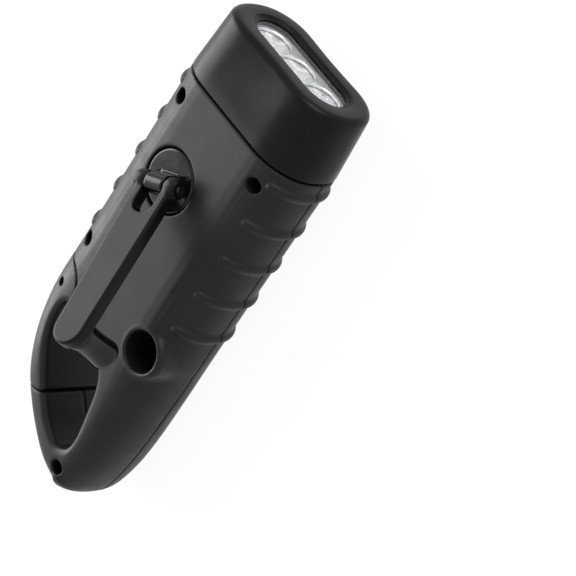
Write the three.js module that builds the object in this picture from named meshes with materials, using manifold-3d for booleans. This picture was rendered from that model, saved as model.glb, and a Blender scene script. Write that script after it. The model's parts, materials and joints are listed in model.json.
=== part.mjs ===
// Hand crank flashlight with a solar panel, a folding crank and a carabiner tail.
// Millimetres. It lies on its solar face: the lamp end points along +X, the crank
// face is up (+Z), and the gate of the carabiner is on the +Y side.
import * as THREE from "three";
import { mergeVertices } from "three/addons/utils/BufferGeometryUtils.js";
import Module from "manifold-3d";

const wasm = await Module();
wasm.setup();

// Overall form
const overallLength = 150;
const headLength = 21.3;
const headInset = 0.05;
const headProud = 0.3;
const rimTaperAcross = 1.5;
const rimTaperUp = 0.8;
const rimRounding = 2;
const rimWaist = 0.7;
const gripHalfWidth = 27.05;
const gripHalfDepth = 14.4;
const edgeBlend = 15;
const tailEdgeBlend = 9.2;
const edgePower = 2.27;
const tailLength = 63.8;
const tailThinning = 0.9;
const thinningLength = 45;
const wall = 1.8;
const partingBelowMiddle = 2.2;
const partingGap = 0.25;
const seamGap = 0.6;

// Clearances, and how far a cut runs past the face that it opens
const overrun = 1;
const slideClearance = 0.25;
const runningClearance = 0.06;
const seatClearance = 0.05;
const restClearance = 0.3;

// Grip ribs on both narrow sides
const ribCount = 5;
const ribPitch = 13.27;
const firstRibFromSeam = 4.93;
const ribHeight = 0.95;
const ribHalfWidth = 1.35;
const ribRoot = 1;
const ribFade = 2.6;
const ribTopReach = 21.8;
const ribUndersideReach = 20.4;

// Carabiner loop and its gate
const loopLength = 35.2;
const loopFromGateSide = 12.05;
const loopFromTip = 12.8;
const loopSpineWidth = 11.75;
const loopWall = 2;
const gatePivotFromLoop = 1.5;
const gatePivotFromSide = 7.45;
const gateRootRadius = 8;
const gateReach = 33.6;
const gateSwingDegrees = 30;
const gatePinRadius = 1.25;
const gatePinRecess = 0.8;
const tongueRadius = 4.2;
const tongueDepth = 7.4;
const tongueBelowMiddle = 4.5;
const gateSpringTurns = 3;
const gateSpringWire = 0.6;
const gateSpringPitch = 0.84;
const gateSpringRadius = 2.3;
const gateSpringLeg = 4.6;

// Crank hub and its train
const hubFromSeam = 27.45;
const hubFromMiddle = 5.31;
const hubRecessRadius = 9.6;
const hubRecessDepth = 3.4;
const hubRadius = 9.3;
const hubThickness = 3;
const hubChamfer = 0.5;
const hubFloor = 1.6;
const hubSpigotRadius = 3;
const bushThickness = 1.2;
const bushLength = 3.8;
const bossWall = 1.7;
const crankAxleRadius = 1.5;
const crankAzimuthDegrees = 209;
const hubScrewReach = 6.6;
const hubScrewRadius = 2.1;
const hubScrewHeight = 0.8;
const hubScrewShank = 0.9;
const hubScrewSlot = 0.7;

// Folding arm, its hinge and its knob
const hingeFromHub = 1;
const hingeAboveHub = 3.4;
const hingePinRadius = 1;
const hingePinHead = 2.2;
const hingePinHeadThickness = 0.7;
const earRadius = 3.1;
const earWidth = 4.4;
const lugWidth = 6.8;
const armThickness = 4;
const armRootWidth = 13.2;
const armTipWidth = 10.8;
const armEdge = 0.7;
const armNotchLength = 8;
const armRestLiftDegrees = 30;
const knobReach = 46.9;
const knobRadius = 4.5;
const knobLength = 15;
const knobRounding = 2.4;
const knobWaist = 0.3;
const knobNeckShare = 0.82;
const knobNeckDropShare = 1.2;
const knobPostRadius = 2;
const knobPostLength = 11;
const knobWeb = 1.2;
const knobScrewHeadRadius = 1.9;
const knobScrewHeadHeight = 1.1;
const knobScrewRadius = 0.9;
const knobScrewBite = 6;

// Well that takes the folded knob
const wellRadius = 6.2;
const wellOutward = 1.2;
const wellWall = 1.5;
const wellFloor = 1.4;
const wellClearanceBelowKnob = 0.6;
const humpRadius = 8.2;
const humpRounding = 2.5;
const cornerRoundHump = 0.3;
const tailJointFromLoop = 2;

// Body screws in their deep counterbores
const screwHoleRadius = 2.25;
const screwHeadRadius = 1.95;
const screwHeadHeight = 1.5;
const screwShankRadius = 1.05;
const screwShankLength = 10.5;
const screwSeatAboveParting = 4.4;
const screwBossWall = 1.2;
const screwPilotClearance = 0.12;
const frontScrewFromSeam = 7.8;
const frontScrewFromSide = 8.55;
const middleScrewFromSeam = 62.5;
const middleScrewFromSide = 6.85;
const tailScrewFromTip = 8.3;
const tailScrewFromSide = 11.55;

// Solar panel on the underside
const panelFromSeam = 4.9;
const panelLength = 57;
const panelHalfWidth = 16.5;
const panelCorner = 4;
const panelBow = 4.6;
const panelShoulderShare = 0.62;
const panelPocketDepth = 2.6;
const panelTrayFloor = 1.6;
const panelTrayWall = 1.4;
const bezelInset = 0.6;
const bezelStep = 0.6;
const bezelStepWidth = 1.6;
const cellFromPanelFront = 6;
const cellLength = 41.5;
const cellHalfWidth = 10.25;
const cellCorner = 2.2;
const cellThickness = 1;

// Lamp in the head
const skirtEdge = 0.5;
const spigotLength = 3.2;
const spigotWall = 1.5;
const headWall = 2.2;
const lensRecess = 1.5;
const ledgeWidth = 0.7;
const ledgeDepth = 0.8;
const lensLip = 0.6;
const lensFlange = 1;
const lensFlangeThickness = 0.8;
const sealWidth = 0.6;
const headFront = 4.4;
const cupCount = 3;
const cupsFromRim = 7.2;
const cupGap = 0.2;
const cupDepth = 8.2;
const cupThroat = 2.75;
const cupMargin = 0.7;
const reflectorWall = 1;
const ledRadius = 2.4;
const ledFlangeRadius = 2.8;
const ledFlangeHeight = 0.9;
const ledHeight = 7.4;
const ledBoardThickness = 1.6;

// Gear train, plate and generator
const crankGearTeeth = 40;
const firstPinionTeeth = 10;
const firstWheelTeeth = 36;
const secondPinionTeeth = 10;
const secondWheelTeeth = 30;
const rotorPinionTeeth = 10;
const firstStageModule = 0.6;
const laterStageModule = 0.5;
const gearBacklash = 0.2;
const meshSlack = 0.08;
const addendumShare = 0.8;
const dedendumShare = 1.15;
const crankGearFace = 2.5;
const wheelFace = 2.2;
const gearAirGap = 0.8;
const gearHubWall = 0.8;
const idlerShaftRadius = 1.05;
const rotorShaftRadius = 0.8;
const shaftBossRadius = 2.5;
const shaftSeat = 2.6;
const firstIdlerDegrees = 185.8;
const secondIdlerDegrees = 150.3;
const rotorDegrees = 196.8;
const plateThickness = 1.4;
const plateAboveBoard = 2.3;
const bossAboveGear = 0.5;
const plateMargin = 0.6;
const canRadius = 9.5;
const canWall = 0.9;
const coilThickness = 1.4;
const airGap = 0.4;
const canFenceWall = 1.1;
const canFenceHeight = 3;

// Battery, board, switch and button
const batteryRadius = 7;
const batteryLength = 30;
const batteryCapRadius = 2.6;
const batteryCapHeight = 0.9;
const batteryFromSeam = 18.7;
const batteryFromSide = 11.05;
const cradleThickness = 2;
const cradleReachShare = 0.55;
const boardThickness = 1.6;
const boardUnderside = 2;
const boardSpineReach = 7.6;
const boardGateReach = 19.6;
const boardFromSeam = 11.6;
const boardGap = 1.2;
const chipLength = 7;
const chipWidth = 5;
const chipHeight = 1.1;
const capacitorRadius = 2.4;
const capacitorHeight = 1.2;
const postRadius = 1.8;
const postShoulder = 1.1;
const plateScrewHead = 1.6;
const plateScrewHeadHeight = 0.7;
const plateScrewRadius = 0.8;
const plateScrewLength = 4;
const plateScrewFromHub = [8, -5];
const plateScrewsFromIdler = [
  [-3.4, -5.3],
  [1, 9.2],
];
const buttonFromSeam = 13.7;
const buttonBelowParting = 0.5;
const buttonLength = 5.5;
const buttonHeight = 3.2;
const buttonProud = 0.8;
const buttonTravel = 0.8;
const buttonFlange = 0.9;
const buttonFlangeThickness = 1;
const buttonStemRadius = 1.1;
const switchLength = 4.4;
const switchDepth = 4.4;
const switchHeight = 5.6;
const plungerRadius = 0.9;
const plungerLength = 1;

// Places along the body
const tipX = -overallLength / 2;
const rimX = overallLength / 2;
const seamX = rimX - headLength;
const shellFrontX = seamX - seamGap / 2;
const skirtX = seamX + seamGap / 2;
const tailStartX = tipX + tailLength;
const thinningX = tipX + thinningLength;
const farX = overallLength;

// Heights
const headHalfWidth = gripHalfWidth - headInset;
const headHalfDepth = gripHalfDepth + headProud;
const rimHalfWidth = headHalfWidth - rimTaperAcross;
const rimHalfDepth = headHalfDepth - rimTaperUp;
const loopWidth = 2 * gripHalfWidth - loopSpineWidth - loopFromGateSide;
const middleZ = headHalfDepth;
const crankFaceZ = middleZ + gripHalfDepth;
const solarFaceZ = middleZ - gripHalfDepth;
const partingZ = middleZ - partingBelowMiddle;
const upperPartingZ = partingZ + partingGap / 2;
const lowerPartingZ = partingZ - partingGap / 2;
const farZ = overallLength;

const plasticBlack = { color: 0x2b2b2c, roughness: 0.55, metalness: 0 };
const headBlack = { color: 0x1d1d1e, roughness: 0.45, metalness: 0 };
const glossBlack = { color: 0x111112, roughness: 0.2, metalness: 0 };
const steel = { color: 0xb8babc, roughness: 0.3, metalness: 1 };
const darkSteel = { color: 0x3b3b3d, roughness: 0.4, metalness: 1 };
const chrome = { color: 0xe6e8ea, roughness: 0.08, metalness: 1 };
const clearPlastic = { color: 0xeef2f4, roughness: 0.05, metalness: 0 };
const gearNylon = { color: 0xe4e0d2, roughness: 0.5, metalness: 0 };
const brass = { color: 0xb5924c, roughness: 0.35, metalness: 1 };
const boardGreen = { color: 0x1f5b35, roughness: 0.6, metalness: 0 };
const boardWhite = { color: 0xe9e9e4, roughness: 0.6, metalness: 0 };
const cellCopper = { color: 0x8f5a3c, roughness: 0.25, metalness: 0.2 };
const coilCopper = { color: 0xa5562c, roughness: 0.4, metalness: 0.8 };
const magnetGrey = { color: 0x4a4a4e, roughness: 0.5, metalness: 0.6 };
const batterySleeve = { color: 0x2f6a4a, roughness: 0.35, metalness: 0 };
const rubberBlack = { color: 0x18181a, roughness: 0.8, metalness: 0 };

// Solids and meshes

function solidOf(geometry) {
  const bare = geometry.clone();
  bare.deleteAttribute("normal");
  bare.deleteAttribute("uv");
  const merged = mergeVertices(bare, overrun * 1e-4);
  return new wasm.Manifold(
    new wasm.Mesh({
      numProp: 3,
      vertProperties: new Float32Array(merged.attributes.position.array),
      triVerts: new Uint32Array(merged.index.array),
    }),
  );
}

function geometryOf(solid) {
  const mesh = solid.getMesh();
  const geometry = new THREE.BufferGeometry();
  geometry.setAttribute("position", new THREE.BufferAttribute(mesh.vertProperties, 3));
  geometry.setIndex(new THREE.BufferAttribute(mesh.triVerts, 1));
  geometry.computeVertexNormals();
  return geometry;
}

function node(name, solid, finish) {
  const mesh = new THREE.Mesh(geometryOf(solid), new THREE.MeshStandardMaterial(finish));
  mesh.name = name;
  return mesh;
}

function joined(solids) {
  return solids.reduce((whole, next) => whole.add(next));
}

function cutBy(solid, cutters) {
  return cutters.reduce((left, cutter) => left.subtract(cutter), solid);
}

// A block between two corners.
function block(low, high) {
  const geometry = new THREE.BoxGeometry(high[0] - low[0], high[1] - low[1], high[2] - low[2]);
  geometry.translate((low[0] + high[0]) / 2, (low[1] + high[1]) / 2, (low[2] + high[2]) / 2);
  return solidOf(geometry);
}

// A solid turned about the vertical line through (x, y), from [radius, height] points.
function turned(profile, x, y, sides) {
  const points = profile.map(([radius, height]) => new THREE.Vector2(radius, height));
  const geometry = new THREE.LatheGeometry(points, sides);
  geometry.rotateX(Math.PI / 2);
  geometry.translate(x, y, 0);
  return solidOf(geometry);
}

function post(radius, low, high, x, y, sides = 16) {
  return turned([[0, low], [radius, low], [radius, high], [0, high]], x, y, sides);
}

function tube(inner, outer, low, high, x, y, sides = 24) {
  const profile = [[inner, low], [outer, low], [outer, high], [inner, high], [inner, low]];
  return turned(profile, x, y, sides);
}

// A flat shape raised between two heights.
function prism(shape, low, high, curveSegments = 5) {
  const options = { depth: high - low, bevelEnabled: false, curveSegments };
  const geometry = new THREE.ExtrudeGeometry(shape, options);
  geometry.translate(0, 0, low);
  return solidOf(geometry);
}

function shapeOf(points) {
  return new THREE.Shape(points.map(([x, y]) => new THREE.Vector2(x, y)));
}

function roundedRectangle(halfX, halfY, corner) {
  const shape = new THREE.Shape();
  shape.moveTo(halfX, corner - halfY);
  shape.lineTo(halfX, halfY - corner);
  shape.absarc(halfX - corner, halfY - corner, corner, 0, Math.PI / 2);
  shape.lineTo(corner - halfX, halfY);
  shape.absarc(corner - halfX, halfY - corner, corner, Math.PI / 2, Math.PI);
  shape.lineTo(-halfX, corner - halfY);
  shape.absarc(corner - halfX, corner - halfY, corner, Math.PI, 1.5 * Math.PI);
  shape.lineTo(halfX - corner, -halfY);
  shape.absarc(halfX - corner, corner - halfY, corner, 1.5 * Math.PI, 2 * Math.PI);
  return shape;
}

// Rings of equal length joined into one closed skin. Flat lids close the two ends,
// unless the last ring joins the first. A lid may be split at a crease of two indices.
function loft(rings, closedRound, crease) {
  const size = rings[0].length;
  const positions = rings.flat(2);
  const faces = [];
  const bands = closedRound ? rings.length : rings.length - 1;
  for (let r = 0; r < bands; r++) {
    const here = r * size;
    const next = ((r + 1) % rings.length) * size;
    for (let i = 0; i < size; i++) {
      const j = (i + 1) % size;
      faces.push(here + i, here + j, next + j, here + i, next + j, next + i);
    }
  }
  if (!closedRound) {
    const last = (rings.length - 1) * size;
    for (const [a, b, c] of lidTriangles(rings[0], crease)) faces.push(a, c, b);
    for (const corners of lidTriangles(rings.at(-1), crease)) {
      faces.push(...corners.map((corner) => last + corner));
    }
  }
  const geometry = new THREE.BufferGeometry();
  geometry.setAttribute("position", new THREE.Float32BufferAttribute(positions, 3));
  geometry.setIndex(faces);
  return solidOf(geometry);
}

function lidTriangles(ring, crease) {
  const all = ring.map((_, i) => i);
  const parts = [all];
  if (crease) {
    const [first, second] = crease;
    const inside = all.slice(first, second + 1);
    const outside = [...all.slice(0, first + 1), ...all.slice(second)];
    parts.splice(0, 1, inside, outside);
  }
  return parts.flatMap((part) => {
    const flat = part.map((i) => new THREE.Vector2(ring[i][0], ring[i][1]));
    return THREE.ShapeUtils.triangulateShape(flat, []).map((face) => face.map((k) => part[k]));
  });
}

// Body outline in plan

// Tail outline, from the gate side round the tip to the spine side: share of the
// tail's length behind its start, and share of the grip's half width.
const tailOutlineShares = [
  [-0.3, 1],
  [0, 1],
  [0.24, 0.998],
  [0.42, 0.932],
  [0.578, 0.802],
  [0.72, 0.6],
  [0.832, 0.33],
  [0.928, 0],
  [0.984, -0.285],
  [1, -0.56],
  [0.987, -0.7],
  [0.945, -0.813],
  [0.865, -0.888],
  [0.721, -0.95],
  [0.53, -0.984],
  [0.295, -0.998],
  [0, -1],
  [-0.3, -1],
];

// Loop opening, in shares of its length behind its front end and of its width
// above its spine-side wall.
const loopOutlineShares = [
  [0, 0.77],
  [0.02, 0.571],
  [0.0625, 0.406],
  [0.128, 0.274],
  [0.216, 0.168],
  [0.341, 0.099],
  [0.511, 0.056],
  [0.682, 0.017],
  [0.824, 0],
  [0.9375, 0.033],
  [1, 0.142],
  [0.98, 0.257],
  [0.923, 0.389],
  [0.824, 0.538],
  [0.7245, 0.66],
  [0.597, 0.785],
  [0.4545, 0.901],
  [0.3125, 0.977],
  [0.156, 1],
  [0.028, 0.95],
];

const loopBackX = tipX + loopFromTip;
const loopFrontX = loopBackX + loopLength;
const loopLowY = loopSpineWidth - gripHalfWidth;

function tailOutline(count) {
  const points = tailOutlineShares.map(
    ([back, side]) => new THREE.Vector2(tailStartX - back * tailLength, side * gripHalfWidth),
  );
  const kept = new THREE.SplineCurve(points)
    .getSpacedPoints(count)
    .filter((point) => point.x < tailStartX);
  return kept.map((point) => [point.x, point.y]);
}

function smoothStep(share) {
  const t = Math.min(1, Math.max(0, share));
  return t * t * (3 - 2 * t);
}

function halfDepthAt(x) {
  return gripHalfDepth - (tailThinning * Math.max(0, thinningX - x)) / thinningLength;
}

// Each outline point with its outward direction and the width of its rounded edge.
function bodyOutline(count) {
  const points = [
    [farX, gripHalfWidth],
    [tailStartX, gripHalfWidth],
    ...tailOutline(count),
    [tailStartX, -gripHalfWidth],
    [farX, -gripHalfWidth],
  ];
  const last = points.length - 1;
  const outline = points.map(([x, y], i) => {
    const before = points[Math.max(0, i - 1)];
    const after = points[Math.min(last, i + 1)];
    const along = new THREE.Vector2(after[0] - before[0], after[1] - before[1]).normalize();
    const tailShare = smoothStep((tailStartX - x) / (tailLength * 0.8));
    const blend = edgeBlend + (tailEdgeBlend - edgeBlend) * tailShare;
    return { x, y, outX: along.y, outY: -along.x, blend: Math.min(blend, 0.85 * bendRadius(points, i)) };
  });
  return evened(outline, 6);
}

// Radius of the circle through a point and its neighbours two places away.
function bendRadius(points, i) {
  if (i < 4 || i > points.length - 5) return farX;
  const [a, b, c] = [i - 2, i, i + 2].map((k) => new THREE.Vector2(...points[k]));
  const twiceArea = Math.abs((b.x - a.x) * (c.y - a.y) - (c.x - a.x) * (b.y - a.y));
  return (a.distanceTo(b) * b.distanceTo(c) * c.distanceTo(a)) / Math.max(2 * twiceArea, overrun * 1e-6);
}

// The edge widths evened out along the outline, never wider than their limits.
function evened(outline, passes) {
  let current = outline;
  for (let pass = 0; pass < passes; pass++) {
    current = current.map((point, i) => {
      if (i < 2 || i > current.length - 3) return point;
      const mean = (current[i - 1].blend + point.blend + current[i + 1].blend) / 3;
      return { ...point, blend: Math.min(mean, point.blend) };
    });
  }
  return current;
}

// The body's pillow form, drawn in on every side by an inset.
function pillow(inset, count, steps) {
  const outline = bodyOutline(count);
  const rings = [];
  for (let k = -steps; k <= steps; k++) {
    const angle = (k / steps) * (Math.PI / 2);
    const outward = Math.cos(angle) < 1e-9 ? 0 : Math.cos(angle) ** (2 / edgePower);
    const upward = Math.sign(angle) * Math.abs(Math.sin(angle)) ** (2 / edgePower);
    rings.push(
      outline.map(({ x, y, outX, outY, blend }) => {
        const drawnIn = blend - Math.max(blend - inset, 0) * outward;
        const height = (halfDepthAt(x) - inset) * upward;
        return [x - outX * drawnIn, y - outY * drawnIn, middleZ + height];
      }),
    );
  }
  const gateSide = outline.findIndex(({ x }) => x < thinningX);
  const spineSide = outline.findLastIndex(({ x }) => x < thinningX);
  return loft(rings, false, [gateSide, spineSide]);
}

// Section of the grip at an angle round its rounded narrow side, and its outward direction.
function gripSection(angle, inset = 0) {
  const cos = Math.cos(angle);
  const sin = Math.sin(angle);
  const y = gripHalfWidth - edgeBlend + (edgeBlend - inset) * Math.abs(cos) ** (2 / edgePower);
  const z = middleZ + (gripHalfDepth - inset) * Math.sign(sin) * Math.abs(sin) ** (2 / edgePower);
  return [y, z];
}

function angleAtReach(reach) {
  const share = (reach - (gripHalfWidth - edgeBlend)) / edgeBlend;
  return Math.acos(Math.min(1, Math.max(0, share)) ** (edgePower / 2));
}

// Grip half width at a height, drawn in by an inset.
function gripHalfWidthAt(z, inset) {
  const share = Math.min(1, Math.abs(z - middleZ) / (gripHalfDepth - inset));
  return gripHalfWidth - edgeBlend + (edgeBlend - inset) * (1 - share ** edgePower) ** (1 / edgePower);
}

// Rounded height of a rib across its width, as shares.
const ribAcrossShares = [
  [-1, -0.5],
  [-0.45, 0.95],
  [0.45, 0.95],
  [1, -0.5],
];

function rib(x, side) {
  const from = -angleAtReach(ribUndersideReach);
  const to = angleAtReach(ribTopReach);
  const steps = 7;
  const rows = [];
  for (let k = 0; k <= steps; k++) {
    const angle = from + ((to - from) * k) / steps;
    const [y, z] = gripSection(angle);
    const [nextY, nextZ] = gripSection(angle + 0.01);
    const along = new THREE.Vector2(nextY - y, nextZ - z).normalize();
    const [endY, endZ] = gripSection(k * 2 < steps ? from : to);
    const fade = smoothStep(Math.hypot(y - endY, z - endZ) / ribFade);
    const outer = ribAcrossShares.map(([across, rise]) => {
      const height = ribHeight * ((rise + 0.3) * fade - 0.3);
      return [x + across * ribHalfWidth, side * (y + along.y * height), z - along.x * height];
    });
    const inner = [ribAcrossShares.at(-1), ribAcrossShares[0]].map(([across]) => {
      return [x + across * ribHalfWidth, side * (y - along.y * ribRoot), z + along.x * ribRoot];
    });
    const ring = [...outer, ...inner];
    rows.push(side > 0 ? ring : ring.reverse());
  }
  return ribSkin(rows);
}

function ribSkin(rows) {
  const size = rows[0].length;
  const faces = [];
  for (let r = 0; r + 1 < rows.length; r++) {
    for (let i = 0; i < size; i++) {
      const j = (i + 1) % size;
      const [a, b, c, d] = [r * size + i, r * size + j, (r + 1) * size + j, (r + 1) * size + i];
      faces.push(a, c, b, a, d, c);
    }
  }
  const last = (rows.length - 1) * size;
  for (let i = 1; i + 1 < size; i++) {
    faces.push(0, i, i + 1);
    faces.push(last, last + i + 1, last + i);
  }
  const geometry = new THREE.BufferGeometry();
  geometry.setAttribute("position", new THREE.Float32BufferAttribute(rows.flat(2), 3));
  geometry.setIndex(faces);
  return solidOf(geometry);
}

function ribPlaces() {
  return Array.from({ length: ribCount }, (_, i) => seamX - firstRibFromSeam - i * ribPitch);
}

// Loop opening and gate outlines

function loopOutline(margin, count) {
  const points = loopOutlineShares.map(
    ([back, up]) => new THREE.Vector3(loopFrontX - back * loopLength, loopLowY + up * loopWidth, 0),
  );
  const curve = new THREE.CatmullRomCurve3(points, true, "centripetal");
  const samples = curve.getSpacedPoints(count).slice(0, -1);
  return samples.map((point, i) => {
    const before = samples.at(i - 1);
    const after = samples[(i + 1) % samples.length];
    const along = new THREE.Vector2(after.x - before.x, after.y - before.y).normalize();
    return [point.x - along.y * margin, point.y + along.x * margin];
  });
}

const gatePivot = { x: loopFrontX + gatePivotFromLoop, y: gripHalfWidth - gatePivotFromSide };
const noseInsideDegrees = 214;
const noseOutsideDegrees = 172;
const rootInsideDegrees = -116;

function arcPoints(radius, fromDegrees, toDegrees, steps) {
  return Array.from({ length: steps + 1 }, (_, i) => {
    const angle = THREE.MathUtils.degToRad(fromDegrees + ((toDegrees - fromDegrees) * i) / steps);
    return [gatePivot.x + radius * Math.cos(angle), gatePivot.y + radius * Math.sin(angle)];
  });
}

// Plan of the gate between its root, a round about the pivot, and its nose, another
// round about the pivot, grown by a margin.
function gatePlan(margin) {
  const root = gateRootRadius + margin;
  const outsideY = gripHalfWidth + gateRootRadius;
  return shapeOf([
    ...arcPoints(root, rootInsideDegrees, 0, 10),
    [gatePivot.x + root, outsideY],
    [gatePivot.x - gateReach, outsideY],
    ...arcPoints(gateReach + margin, noseOutsideDegrees, noseInsideDegrees, 5),
  ]);
}

// Crank layout

const hubX = seamX - hubFromSeam;
const hubY = hubFromMiddle;
const hubAzimuth = THREE.MathUtils.degToRad(crankAzimuthDegrees);
const hubRecessZ = crankFaceZ - hubRecessDepth;
const hubTopZ = hubRecessZ + restClearance + hubThickness;
const hubBottomZ = hubTopZ - hubThickness;
const hingeZ = hubTopZ + hingeAboveHub;

const knobTop = -armThickness / 2 - slideClearance;
const knobBottom = knobTop - knobLength;
const wellReach = knobReach + wellOutward + hingeFromHub;
const wellX = hubX + wellReach * Math.cos(hubAzimuth);
const wellY = hubY + wellReach * Math.sin(hubAzimuth);
const wellFloorZ = hingeZ + knobBottom - wellClearanceBelowKnob;

// Gear layout

function offsetFrom(place, distance, degrees) {
  const angle = THREE.MathUtils.degToRad(degrees);
  return { x: place.x + distance * Math.cos(angle), y: place.y + distance * Math.sin(angle) };
}

function pitchRadius(teeth, gearModule) {
  return (teeth * gearModule) / 2;
}

function centreDistance(teethA, teethB, gearModule) {
  return pitchRadius(teethA + teethB, gearModule) + meshSlack;
}

const hubPlace = { x: hubX, y: hubY };
const firstIdler = offsetFrom(
  hubPlace,
  centreDistance(crankGearTeeth, firstPinionTeeth, firstStageModule),
  firstIdlerDegrees,
);
const secondIdler = offsetFrom(
  firstIdler,
  centreDistance(firstWheelTeeth, secondPinionTeeth, laterStageModule),
  secondIdlerDegrees,
);
const rotorPlace = offsetFrom(
  secondIdler,
  centreDistance(secondWheelTeeth, rotorPinionTeeth, laterStageModule),
  rotorDegrees,
);

const trayTopZ = solarFaceZ + panelPocketDepth + panelTrayFloor;
const boardLowZ = trayTopZ + boardUnderside;
const boardHighZ = boardLowZ + boardThickness;
const plateLowZ = boardHighZ + plateAboveBoard;
const plateHighZ = plateLowZ + plateThickness;
const rotorPinionZ = plateHighZ + gearAirGap;
const secondWheelZ = rotorPinionZ;
const firstWheelZ = secondWheelZ + wheelFace + gearAirGap;
const crankGearZ = firstWheelZ + wheelFace + gearAirGap;
const crankGearTopZ = crankGearZ + crankGearFace;
const bossLowZ = crankGearTopZ + bossAboveGear;
const innerCeilingZ = crankFaceZ - wall;
const canLowZ = trayTopZ + restClearance;
const canHighZ = plateLowZ - restClearance;

// Involute flank: half the tooth's angle at a radius.
function toothHalfAngle(teeth, gearModule, radius) {
  const pitch = pitchRadius(teeth, gearModule);
  const base = pitch * Math.cos(THREE.MathUtils.degToRad(20));
  const involute = (r) => {
    const pressure = Math.acos(Math.min(1, base / r));
    return Math.tan(pressure) - pressure;
  };
  const atPitch = Math.PI / (2 * teeth) - gearBacklash / (4 * pitch);
  return atPitch + involute(pitch) - involute(Math.max(radius, base));
}

// Spur gear outline with a tooth centred at an angle.
function gearShape(teeth, gearModule, toothAngle) {
  const pitch = pitchRadius(teeth, gearModule);
  const root = pitch - dedendumShare * gearModule;
  const tip = pitch + addendumShare * gearModule;
  const low = Math.max(root, pitch * Math.cos(THREE.MathUtils.degToRad(20)));
  const radii = teeth < 20 ? [root, (low + pitch) / 2, tip] : [root, tip];
  const shape = new THREE.Shape();
  for (let i = 0; i < teeth; i++) {
    const centre = toothAngle + (i * 2 * Math.PI) / teeth;
    const rising = radii.map((r) => [r, centre - toothHalfAngle(teeth, gearModule, r)]);
    const falling = radii.map((r) => [r, centre + toothHalfAngle(teeth, gearModule, r)]).reverse();
    for (const [r, angle] of [...rising, ...falling]) {
      const place = [r * Math.cos(angle), r * Math.sin(angle)];
      if (shape.curves.length || shape.currentPoint.length()) shape.lineTo(...place);
      else shape.moveTo(...place);
    }
  }
  shape.closePath();
  return shape;
}

function gearAt(place, teeth, gearModule, toothAngle, low, face) {
  const gear = prism(gearShape(teeth, gearModule, toothAngle), low, low + face);
  return gear.translate([place.x, place.y, 0]);
}

function boreAt(place, radius) {
  return post(radius, solarFaceZ, crankFaceZ, place.x, place.y, 20);
}

// Angle of the line from one shaft to the next, and the tooth angle that meshes there.
function lineAngle(from, to) {
  return Math.atan2(to.y - from.y, to.x - from.x);
}

function meshingAngle(from, to, teeth) {
  return lineAngle(to, from) + Math.PI / teeth;
}

// Screw places in the shells, on the mid plane

const frontScrewX = seamX - frontScrewFromSeam;
const frontScrewY = gripHalfWidth - frontScrewFromSide;
const bodyScrews = [
  { x: frontScrewX, y: frontScrewY },
  { x: frontScrewX, y: -frontScrewY },
  { x: seamX - middleScrewFromSeam, y: gripHalfWidth - middleScrewFromSide },
  { x: tipX + tailScrewFromTip, y: tailScrewFromSide - gripHalfWidth },
];
const screwSeatZ = partingZ + screwSeatAboveParting;

// Solar panel outline, grown by a margin: a straight front, a bowed back
function panelShape(margin) {
  const front = seamX - panelFromSeam + margin;
  const back = seamX - panelFromSeam - panelLength - margin;
  const half = panelHalfWidth + margin;
  const corner = panelCorner + margin;
  const shape = new THREE.Shape();
  shape.moveTo(front, corner - half);
  shape.lineTo(front, half - corner);
  shape.absarc(front - corner, half - corner, corner, 0, Math.PI / 2);
  shape.lineTo(back + panelBow, half);
  const shoulder = half * panelShoulderShare;
  shape.quadraticCurveTo(back, shoulder, back, 0);
  shape.quadraticCurveTo(back, -shoulder, back + panelBow, -half);
  shape.lineTo(front - corner, -half);
  shape.absarc(front - corner, corner - half, corner, 1.5 * Math.PI, 2 * Math.PI);
  return shape;
}

const cellMiddleX = seamX - panelFromSeam - cellFromPanelFront - cellLength / 2;

function cellShape(margin) {
  return roundedRectangle(cellLength / 2 + margin, cellHalfWidth + margin, cellCorner + margin);
}

// Posts that carry the board and the gear plate
const plateScrews = [
  { x: hubX + plateScrewFromHub[0], y: hubY + plateScrewFromHub[1] },
  ...plateScrewsFromIdler.map(([x, y]) => ({ x: firstIdler.x + x, y: firstIdler.y + y })),
];

// Battery and board places
const batteryFrontX = seamX - batteryFromSeam;
const batteryBackX = batteryFrontX - batteryLength;
const batteryY = batteryFromSide - gripHalfWidth;
const batteryZ = trayTopZ + restClearance + batteryRadius;
const boardFrontX = seamX - boardFromSeam;
const canFenceRadius = canRadius + slideClearance + canFenceWall;
const boardBackX = rotorPlace.x + canFenceRadius + boardGap;
const buttonX = seamX - buttonFromSeam;
const buttonZ = partingZ - buttonBelowParting;
const switchBackY = boardGateReach - switchDepth;

// Shells

const bodyForm = joined([
  pillow(0, 50, 5),
  ...ribPlaces().flatMap((x) => [rib(x, 1), rib(x, -1)]),
  humpForm(),
]);
const loopCut = prism(shapeOf(loopOutline(0, 36)), -overrun, crankFaceZ + overrun);
const gateCut = prism(gatePlan(0), -overrun, crankFaceZ + overrun);
const buttonCut = buttonPrism(
  slideClearance,
  gripHalfWidthAt(buttonZ, wall) - wall,
  gripHalfWidth + ribHeight + overrun,
);
const shellHollow = hollowForm();

// Raised rim round the knob's well, standing out where the body's edge falls away.
function humpForm() {
  const low = wellFloorZ - wellFloor;
  const profile = [[0, low], [humpRadius, low]];
  for (let k = 0; k <= 3; k++) {
    const angle = (k / 3) * (Math.PI / 2);
    profile.push([
      humpRadius - humpRounding * (1 - Math.cos(angle)),
      crankFaceZ - humpRounding * (1 - Math.sin(angle)),
    ]);
  }
  profile.push([0, crankFaceZ]);
  return turned(profile, wellX, wellY, 28);
}

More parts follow.
